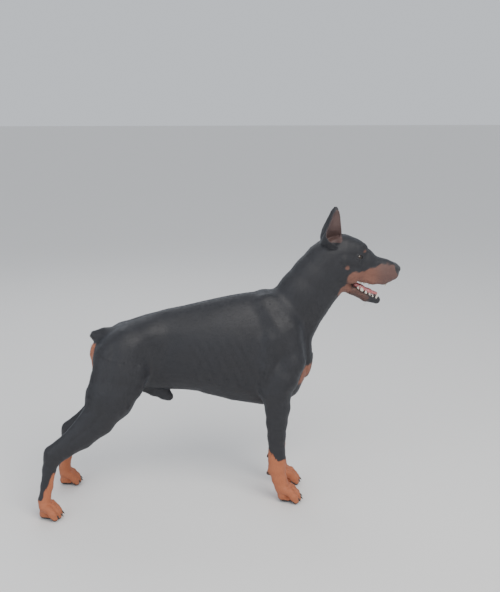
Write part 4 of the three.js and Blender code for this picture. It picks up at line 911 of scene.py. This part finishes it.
# ------------------------------------------------------------------ tufts of the coat
def unwrap(P, N):
    """Where a point of the skin lies on a flat unwrap of the body: each part is rolled out round its own axis into its own tile."""
    x, y, z = P[:, 0], P[:, 1], P[:, 2]
    uv = np.zeros((len(P), 2))

    def tile(m, angle, run, lo, hi, box):
        a = (angle / (2 * math.pi)) % 1.0
        r = np.clip((run - lo) / (hi - lo), 0, 1)
        uv[m, 0] = box[0] + (box[2] - box[0]) * (0.02 + 0.96 * r)
        uv[m, 1] = box[1] + (box[3] - box[1]) * (0.02 + 0.96 * a)
    head = (x + (z - 780) * 0.45 > 96) & (z > 640)
    ear = head & (z > 872) & (x < 165) & (np.abs(y) > 8)
    head &= ~ear
    neck = ~head & ~ear & (x > -100) & (z > 520 + (66 - x) * 1.25)
    fore = ~head & ~neck & (x > -190) & (z < 388) & (x < 40) & (np.abs(y) > 34) | (~head & (z < 316) & (x > -300))
    hind = (x < -486) & (z < 366 + (-486 - x) * 1.3) & (z < 547) & ~fore
    trunk = ~(head | ear | neck | fore | hind)
    for m, f in ((trunk, lambda: tile(trunk, np.arctan2(y[trunk], z[trunk] - 520), x[trunk], -670, 60, (0, 0, 0.62, 0.55))),
                 (neck, lambda: tile(neck, np.arctan2(y[neck], (z[neck] - 700) * 0.62 - (x[neck] - 20) * 0.78), x[neck] * 0.62 + z[neck] * 0.78, 380, 740, (0.62, 0, 1, 0.34))),
                 (head, lambda: tile(head, np.arctan2(y[head], z[head] - 770 + (x[head] - 200) * 0.25), x[head], 90, 345, (0.62, 0.34, 1, 0.70)))):
        if m.any():
            f()
    for s, b in ((-1, (0.62, 0.70, 0.81, 1)), (1, (0.81, 0.70, 1, 1))):
        m = ear & (y * s > 0)
        if m.any():
            tile(m, np.arctan2(y[m] * s - 46, x[m] - 108) + 0.5, z[m], 870, 970, b)
        m = fore & (y * s > 0)
        if m.any():
            b2 = (0, 0.55, 0.31, 0.775) if s < 0 else (0.31, 0.55, 0.62, 0.775)
            tile(m, np.arctan2(np.abs(y[m]) - FORE[s][1], x[m] - FORE[s][0] - np.clip(100 - z[m], 0, 60) * 0.5), z[m], 0, 390, b2)
        m = hind & (y * s > 0)
        if m.any():
            b2 = (0, 0.775, 0.31, 1) if s < 0 else (0.31, 0.775, 0.62, 1)
            cx = np.interp(z[m], [0, 60, 205, 380, 540], [HIND[s]["foot"][0] + 20, HIND[s]["foot"][0], HIND[s]["hock"][0], HIND[s]["knee"][0], HIND[s]["hip"][0]])
            cy = np.interp(z[m], [0, 60, 205, 380, 540], [HIND[s]["foot"][1], HIND[s]["foot"][1], HIND[s]["hock"][1], HIND[s]["knee"][1], HIND[s]["hip"][1]])
            tile(m, np.arctan2(np.abs(y[m]) - cy, x[m] - cx), z[m], 0, 548, b2)
    return uv


rng = np.random.default_rng(11)
TV = V[T[~is_nose]]
TN = NORMAL[T[~is_nose]]
area = np.linalg.norm(np.cross(TV[:, 1] - TV[:, 0], TV[:, 2] - TV[:, 0]), axis=1) / 2
C = TV.mean(1); CN = TN.mean(1); CN /= np.maximum(np.linalg.norm(CN, axis=1), 1e-6)[:, None]
att_face = attributes_of(C, CN)
x_, y_, z_ = C[:, 0], C[:, 1], C[:, 2]
density = np.full(len(C), 0.055)  # tufts for each square millimetre
on_head = (x_ + (z_ - 780) * 0.45 > 96) & (z_ > 640)
density[on_head] = 0.16
density[z_ < 70] = 0.14
density[(z_ < 330) & (z_ >= 70)] = 0.08
density *= (att_face["mouth"] < 0.4) & (att_face["lip"] < 0.5) & (att_face["pad"] < 0.4)
density[z_ < 3] = 0
density[(att_face["earin"] > 0.5)] *= 0.35
keep_eye = np.linalg.norm(np.stack([x_, np.abs(y_), z_], 1) - EYE, axis=1) < EYE_R + 2.5
density[keep_eye] = 0
# more where the outline shows the coat: back of the neck, throat, belly, back of the legs
ridge = (np.abs(CN[:, 1]) < 0.5)
density[ridge & ~on_head] *= 1.25
expected = density * area
count = rng.poisson(expected)
face = np.repeat(np.arange(len(C)), count)
r1, r2 = rng.random(len(face)), rng.random(len(face))
su = np.sqrt(r1)
bary = np.stack([1 - su, su * (1 - r2), su * r2], 1)
root = (TV[face] * bary[:, :, None]).sum(1)
normal = (TN[face] * bary[:, :, None]).sum(1)
normal /= np.linalg.norm(normal, axis=1)[:, None]
way = lie(root, normal)
way += 0.13 * rng.normal(size=way.shape)
way -= normal * (way * normal).sum(1)[:, None]
way /= np.linalg.norm(way, axis=1)[:, None]
across = np.cross(normal, way)
x_, y_, z_ = root[:, 0], root[:, 1], root[:, 2]
long_ = np.full(len(root), 7.5)
lift = np.full(len(root), 0.46)
wide = np.full(len(root), 0.95)
h = (x_ + (z_ - 780) * 0.45 > 96) & (z_ > 640)
long_[h] = 4.2; lift[h] = 0.34; wide[h] = 0.6
muz = h & (x_ > 215)
long_[muz] = 2.8; lift[muz] = 0.24; wide[muz] = 0.5
feet = z_ < 70
long_[feet] = 3.8; lift[feet] = 0.24; wide[feet] = 0.62
legs = (z_ >= 70) & (z_ < 330) & ~h
long_[legs] = 5.4; lift[legs] = 0.32; wide[legs] = 0.8


def grow(m, l, up):
    long_[m] *= l
    lift[m] *= up


grow((x_ < -560) & (z_ > 360) & (z_ < 520) & (normal[:, 0] < -0.5), 1.35, 1.9)  # back of the thighs
grow((x_ < -625) & (z_ > 520), 1.2, 1.6)  # tail
grow((z_ < 400) & (z_ > 320) & (normal[:, 2] < -0.6) & (x_ > -520), 1.25, 1.6)  # keel and belly
grow((x_ > -10) & (z_ > 380) & (z_ < 640) & (np.abs(y_) < 22) & ~h, 1.2, 1.5)  # breast and throat
grow((x_ > -120) & (z_ > 640) & (np.abs(y_) < 14) & ~h, 1.1, 1.4)  # crest of the neck
grow(z_ > 952, 0.5, 0.6)  # ear tips
share = rng.uniform(0.7, 1.25, len(root))
long_ *= share; lift *= rng.uniform(0.5, 1.5, len(root))
tuft_att = attributes_of(root, normal)
UV = unwrap(root, normal)

# each tuft: three roots in the skin, two flat points half way, one tip
base = root - normal * 0.18
mid = root + way * (long_ * 0.55)[:, None] + normal * (lift * 0.75)[:, None]
tip = root + way * long_[:, None] + normal * lift[:, None]
a = base - across * (wide * 0.42)[:, None]
b = base + across * (wide * 0.42)[:, None]
ml = mid - across * (wide * 0.5)[:, None]
mr = mid + across * (wide * 0.5)[:, None]
lowm = mid - normal * 0.22
n = len(root)
verts = np.stack([a, b, ml, mr, tip, lowm], 1)
loc = np.array([[0, 1, 3], [0, 3, 2], [2, 3, 4], [0, 2, 5], [1, 5, 3], [0, 5, 1], [2, 4, 5], [3, 5, 4]])[:, ::-1]
uvo = np.array([[0, -0.4], [0, 0.4], [0.55, -0.5], [0.55, 0.5], [1, 0], [0.5, 0]]) * 0.003
order = np.argsort(UV[:, 0] // 0.311 + 4 * (UV[:, 1] // 0.2), kind="stable")
per = 24000
shade = normal + rng.normal(size=normal.shape) * 0.05
shade /= np.linalg.norm(shade, axis=1)[:, None]
tuft_objects = []
for k in range(0, n, per):
    pick = order[k:k + per]
    vv = verts[pick].reshape(-1, 3)
    ff = (np.arange(len(pick))[:, None, None] * 6 + loc[None]).reshape(-1, 3)
    att = {q: np.repeat(v[pick], 6) for q, v in tuft_att.items()}
    o = new_object("coat_%d" % (k // per + 1), vv, ff, MAT_TUFT, smooth=True, attributes=att, normals=np.repeat(shade[pick], 6, axis=0))
    uv = o.data.uv_layers.new(name="OFBake")
    allv = (UV[pick][:, None, :] + uvo[None]).reshape(-1, 2)
    li = np.empty(len(o.data.loops), np.int32); o.data.loops.foreach_get("vertex_index", li)
    uv.data.foreach_set("uv", np.clip(allv[li], 0, 1).astype(np.float32).ravel())
    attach(o, "root")
    tuft_objects.append(o)
print("tufts", n, "in", len(tuft_objects), round(time.time() - T0, 1), "s")


# ------------------------------------------------------------------ eyes
def eye_material():
    m, t, bs = material("eye_wet")
    N, L = t.nodes, t.links
    at = N.new("ShaderNodeAttribute"); at.attribute_name = "gaze"
    noise_ = N.new("ShaderNodeTexNoise"); noise_.inputs["Scale"].default_value = 900
    L.new(N.new("ShaderNodeTexCoord").outputs["Object"], noise_.inputs["Vector"])
    add = N.new("ShaderNodeMath"); add.operation = "MULTIPLY_ADD"; add.inputs[1].default_value = 0.012
    L.new(noise_.outputs["Fac"], add.inputs[0]); L.new(at.outputs["Fac"], add.inputs[2])
    r = N.new("ShaderNodeValToRGB"); L.new(add.outputs[0], r.inputs[0])
    e = r.color_ramp.elements
    e[0].position = 0.0; e[0].color = (0.012, 0.010, 0.010, 1)
    e[1].position = 1.0; e[1].color = (0.004, 0.004, 0.004, 1)
    for p, c in ((0.42, (0.020, 0.015, 0.014, 1)), (0.555, (0.050, 0.036, 0.032, 1)), (0.585, (0.016, 0.008, 0.005, 1)), (0.66, (0.026, 0.011, 0.005, 1)), (0.80, (0.042, 0.018, 0.008, 1)), (0.84, (0.003, 0.003, 0.003, 1))):
        q = e.new(p); q.color = c
    L.new(r.outputs[0], bs.inputs["Base Color"])
    bs.inputs["Roughness"].default_value = 0.12
    bs.inputs["Coat Weight"].default_value = 0.4
    bs.inputs["Coat Roughness"].default_value = 0.03
    return m


MAT_EYE = eye_material()
for name, s in (("eye_r", -1), ("eye_l", 1)):
    c = EYE * [1, s, 1]
    out = GAZE * [1, s, 1]
    u = unit(np.cross(out, [0, 0, 1])); w = np.cross(out, u)
    rows, cols = 36, 48
    pts, gaze = [c + out * (EYE_R + 0.55)], [1.0]
    for i in range(1, rows):
        th = math.pi * (i / rows) ** 1.25
        bulge = 0.55 * math.exp(-(th / 0.42) ** 2)  # cornea
        for j in range(cols):
            ph = 2 * math.pi * j / cols
            dirv = out * math.cos(th) + (u * math.cos(ph) + w * math.sin(ph)) * math.sin(th)
            pts.append(c + dirv * (EYE_R + bulge)); gaze.append(math.cos(th) * 0.5 + 0.5 if th > 1.2 else 1 - th / 2.2)
    pts.append(c - out * EYE_R); gaze.append(0.0)
    tris = []
    for j in range(cols):
        tris.append((0, 1 + j, 1 + (j + 1) % cols))
    for i in range(rows - 2):
        for j in range(cols):
            p, q = 1 + i * cols + j, 1 + i * cols + (j + 1) % cols
            tris += [(p, p + cols, q), (q, p + cols, q + cols)]
    last = len(pts) - 1; r0 = 1 + (rows - 2) * cols
    for j in range(cols):
        tris.append((r0 + j, last, r0 + (j + 1) % cols))
    o = new_object(name + "_ball", np.array(pts), np.array(tris), MAT_EYE, attributes={"gaze": gaze})
    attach(o, "root"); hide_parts(name)


# ------------------------------------------------------------------ tongue, teeth
def small_nets(f, lo, hi, g):
    ax = [np.arange(l, h + g, g) for l, h in zip(lo, hi)]
    X, Y, Z = np.meshgrid(*ax, indexing="ij")
    D = f(np.stack([X.ravel(), Y.ravel(), Z.ravel()], 1)).reshape(X.shape)
    global AX, AY, AZ
    keep = AX, AY, AZ
    AX, AY, AZ = ax
    v, q = nets(D)
    AX, AY, AZ = keep
    return v, split_quads(v, q)


TONGUE = np.array([[186, 0, 716, 10, 14], [206, 0, 706, 8.5, 15], [232, 0, 694, 7, 13.8], [257, 0, 685, 5.4, 10.5]], float)


def tongue_field(P):
    d = along(P, TONGUE, True, 2.3)
    groove = np.exp(-(P[:, 1] / 2.2) ** 2) * 1.3
    return d + groove + 0.18 * np.sin(P[:, 0] * 1.9) * np.sin(P[:, 1] * 2.1)


tv, tt = small_nets(tongue_field, (168, -20, 672), (268, 20, 732), 1.1)
MAT_TONGUE = plain_material("tongue_wet", (0.36, 0.10, 0.10), (0.54, 0.21, 0.21), 320, 0.28, bump=0.35, distance=0.0004, coat=0.4, subsurface=0.25)
tongue = new_object("tongue_wet", tv, tt, MAT_TONGUE)
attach(tongue, "root"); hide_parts("tongue")

MAT_TOOTH = plain_material("tooth_enamel", (0.48, 0.44, 0.36), (0.66, 0.62, 0.55), 260, 0.25, coat=0.3)


def tooth(root_p, tip_p, wx, wy, bend=(0, 0, 0), rows=8, cols=12):
    root_p, tip_p = np.array(root_p, float), np.array(tip_p, float)
    ax = unit(tip_p - root_p)
    u = unit(np.cross([0, 1, 0], ax)); w = np.cross(ax, u)
    pts, tris = [], []
    for i in range(rows):
        t = i / (rows - 1) * 0.97
        r = math.sqrt(max(0, 1 - t ** 2.2)) * (1 - 0.15 * t)
        c = root_p + (tip_p - root_p) * t + np.array(bend) * (t * (1 - t) * 4)
        for j in range(cols):
            a_ = 2 * math.pi * j / cols
            pts.append(c + u * (wx * r * math.cos(a_)) + w * (wy * r * math.sin(a_)))
    pts.append(tip_p); pts.append(root_p)
    for i in range(rows - 1):
        for j in range(cols):
            p, q = i * cols + j, i * cols + (j + 1) % cols
            tris += [(p, q, q + cols), (p, q + cols, p + cols)]
    for j in range(cols):
        p, q = (rows - 1) * cols + j, (rows - 1) * cols + (j + 1) % cols
        tris.append((p, q, len(pts) - 2)); tris.append(((j + 1) % cols, j, len(pts) - 1))
    return np.array(pts), np.array(tris)


def joined(parts):
    v, f, o = [], [], 0
    for p, t in parts:
        v.append(p); f.append(t + o); o += len(p)
    return np.concatenate(v), np.concatenate(f)


upper, lower = [], []
for s in (-1, 1):
    upper.append(tooth((285, s * 17, 731), (282, s * 18.5, 710), 4.0, 3.2, bend=(2.0, 0, 0)))
    lower.append(tooth((252, s * 13.2, 667), (259, s * 15.5, 689), 3.9, 3.0, bend=(1.6, 0, 0)))
    for i, y in enumerate((2.1, 6.1, 10.0)):
        upper.append(tooth((301 - 0.9 * i * i, s * y, 733), (302 - 0.9 * i * i, s * y * 1.02, 724.5 - 0.6 * i), 1.9, 1.9))
        lower.append(tooth((262 - 0.7 * i * i, s * y * 0.85, 667), (264.5 - 0.7 * i * i, s * y * 0.87, 677), 1.7, 1.7))
    for i, (x, high, wide_) in enumerate(((270, 6.5, 3.6), (258, 7.5, 4.4), (245, 8.5, 5.0), (229, 11.5, 7.2), (212, 8, 5.6), (200, 6, 4.6))):
        y = 17.5 + 0.055 * (270 - x)
        upper.append(tooth((x, s * y, 730), (x - 0.8, s * (y + 0.8), 728 - high), wide_, 2.4))
    for i, (x, high, wide_) in enumerate(((243, 5.5, 3.2), (232, 7, 4.2), (219.5, 8, 4.8), (205, 10, 7.0), (192, 7, 4.8))):
        zr = 677 + (243 - x) * 0.58
        y = 14.6 + 0.06 * (243 - x)
        lower.append(tooth((x, s * y, zr - 3), (x - 0.4, s * (y + 0.3), zr + high), wide_, 2.1))
teeth_u = new_object("teeth_upper", *joined(upper), MAT_TOOTH)
teeth_l = new_object("teeth_lower", *joined(lower), MAT_TOOTH)
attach(teeth_u, "root"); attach(teeth_l, "root")

# ------------------------------------------------------------------ claws
MAT_CLAW = plain_material("claw_horn", (0.012, 0.011, 0.011), (0.040, 0.034, 0.030), 120, 0.32, coat=0.25, stretch=(0.3, 3, 1))
claws = []
for paw in PAWS:
    k = paw[3]
    for dy, back in TOES:
        rows, cols = 10, 14
        pts, tris = [], []
        for i in range(rows):
            t = i / (rows - 1)
            r = 3.9 * k * (1 - t ** 2.2 * 0.9)
            dx, z = 50.5 + back + 12.5 * t, 20.5 - 2.5 * t - 8.5 * t * t
            for j in range(cols):
                a_ = 2 * math.pi * j / cols
                pts.append(paw_point(paw, dx + r * 0.5 * math.sin(a_) * (t + 0.15), dy * TOE_SPREAD + r * 0.72 * math.cos(a_) / k, z + r * math.sin(a_) / k))
        pts.append(list(np.mean(pts[-cols:], 0))); pts.append(list(np.mean(pts[:cols], 0)))
        for i in range(rows - 1):
            for j in range(cols):
                p, q = i * cols + j, i * cols + (j + 1) % cols
                tris += [(p, q, q + cols), (p, q + cols, p + cols)]
        for j in range(cols):
            p, q = (rows - 1) * cols + j, (rows - 1) * cols + (j + 1) % cols
            tris.append((p, q, len(pts) - 2)); tris.append(((j + 1) % cols, j, len(pts) - 1))
        t_ = np.array(tris)
        if paw[2] < 0:
            t_ = t_[:, ::-1]
        claws.append((np.array(pts), t_))
claw = new_object("claws_horn", *joined(claws), MAT_CLAW)
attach(claw, "root"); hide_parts(*[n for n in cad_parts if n.startswith("claw_")])

# ------------------------------------------------------------------ whiskers
MAT_HAIR = plain_material("whisker_hair", (0.012, 0.011, 0.011), (0.030, 0.027, 0.026), 200, 0.4)
wv = []
wr = np.random.default_rng(5)
for s in (-1, 1):
    spots = [(x, 21 + 0.03 * (300 - x), z) for x, z in ((296, 748), (288, 752), (280, 746), (270, 750), (262, 744), (290, 741), (276, 739), (256, 750), (300, 741))]
    spots += [(203, 27, 846), (207, 24, 843), (150, 52, 757), (240, 16, 656), (232, 14, 655)]
    for x, y, z in spots:
        p = np.array([[x, s * y, z]], float)
        for _ in range(4):
            g = gradient(p); p = p - g / np.linalg.norm(g) * field(p)[0]
        n_ = gradient(p)[0]; n_ /= np.linalg.norm(n_)
        d_ = unit(n_ * 0.75 + np.array([-0.55, 0, -0.25]) + wr.normal(size=3) * 0.12)
        L_ = wr.uniform(16, 26) if x > 210 else 12
        u = unit(np.cross(d_, [0.1, 0.2, 1])); w = np.cross(d_, u)
        pts, tris = [], []
        for i in range(5):
            t = i / 4
            c = p[0] - n_ * 0.5 + d_ * L_ * t + np.array([-0.25, 0, -0.35]) * L_ * t * t * 0.6
            r = 0.22 * (1 - 0.75 * t)
            for j in range(3):
                a_ = 2 * math.pi * j / 3
                pts.append(c + (u * math.cos(a_) + w * math.sin(a_)) * r)
        for i in range(4):
            for j in range(3):
                a_, b_ = i * 3 + j, i * 3 + (j + 1) % 3
                tris += [(a_, b_, b_ + 3), (a_, b_ + 3, a_ + 3)]
        tris += [(0, 2, 1), (12, 13, 14)]
        wv.append((np.array(pts), np.array(tris)))
whiskers = new_object("whiskers", *joined(wv), MAT_HAIR)
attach(whiskers, "root")

# ------------------------------------------------------------------ floor, light, camera
me = bpy.data.meshes.new("floor")
R_ = 60.0
me.from_pydata([(-R_, -R_, 0), (R_, -R_, 0), (R_, R_, 0), (-R_, R_, 0)], [], [(0, 1, 2, 3)])
floor = bpy.data.objects.new("floor", me)
bpy.context.scene.collection.objects.link(floor)
fm, ft, fb = material("floor_pale")
fb.inputs["Base Color"].default_value = (0.80, 0.79, 0.775, 1)
fb.inputs["Roughness"].default_value = 0.75
me.materials.append(fm)

world = bpy.data.worlds.new("studio")
bpy.context.scene.world = world
world.use_nodes = True
bg = world.node_tree.nodes["Background"]
bg.inputs[0].default_value = (0.90, 0.94, 1.0, 1)
bg.inputs[1].default_value = 0.78


def area(name, at, to, size, power, colour):
    l = bpy.data.lights.new(name, "AREA")
    l.shape = "DISK"; l.size = size; l.energy = power; l.color = colour
    o = bpy.data.objects.new(name, l)
    o.location = at
    from mathutils import Vector
    o.rotation_euler = (Vector(to) - Vector(at)).to_track_quat("-Z", "Y").to_euler()
    bpy.context.scene.collection.objects.link(o)


area("key", (1.0, -2.6, 3.4), (0, 0, 0.45), 2.6, 120, (1.0, 0.97, 0.92))
area("fill", (-2.8, -2.4, 1.8), (0, 0, 0.5), 3.0, 34, (0.88, 0.93, 1.0))
area("back", (-0.6, 2.8, 3.0), (0, 0, 0.5), 2.8, 26, (0.95, 0.97, 1.0))

cam = bpy.data.cameras.new("camera")
cam.sensor_fit = "AUTO"; cam.sensor_width = 36.0; cam.lens = 850 / 592 * 36
camera = bpy.data.objects.new("camera", cam)
camera.location = (np.array([-513.2, -2668.5, 1284.0]) - ORIGIN) / 1000
camera.rotation_euler = (math.radians(90 - 12.5), 0, math.radians(-7.5))
bpy.context.scene.collection.objects.link(camera)
bpy.context.scene.camera = camera
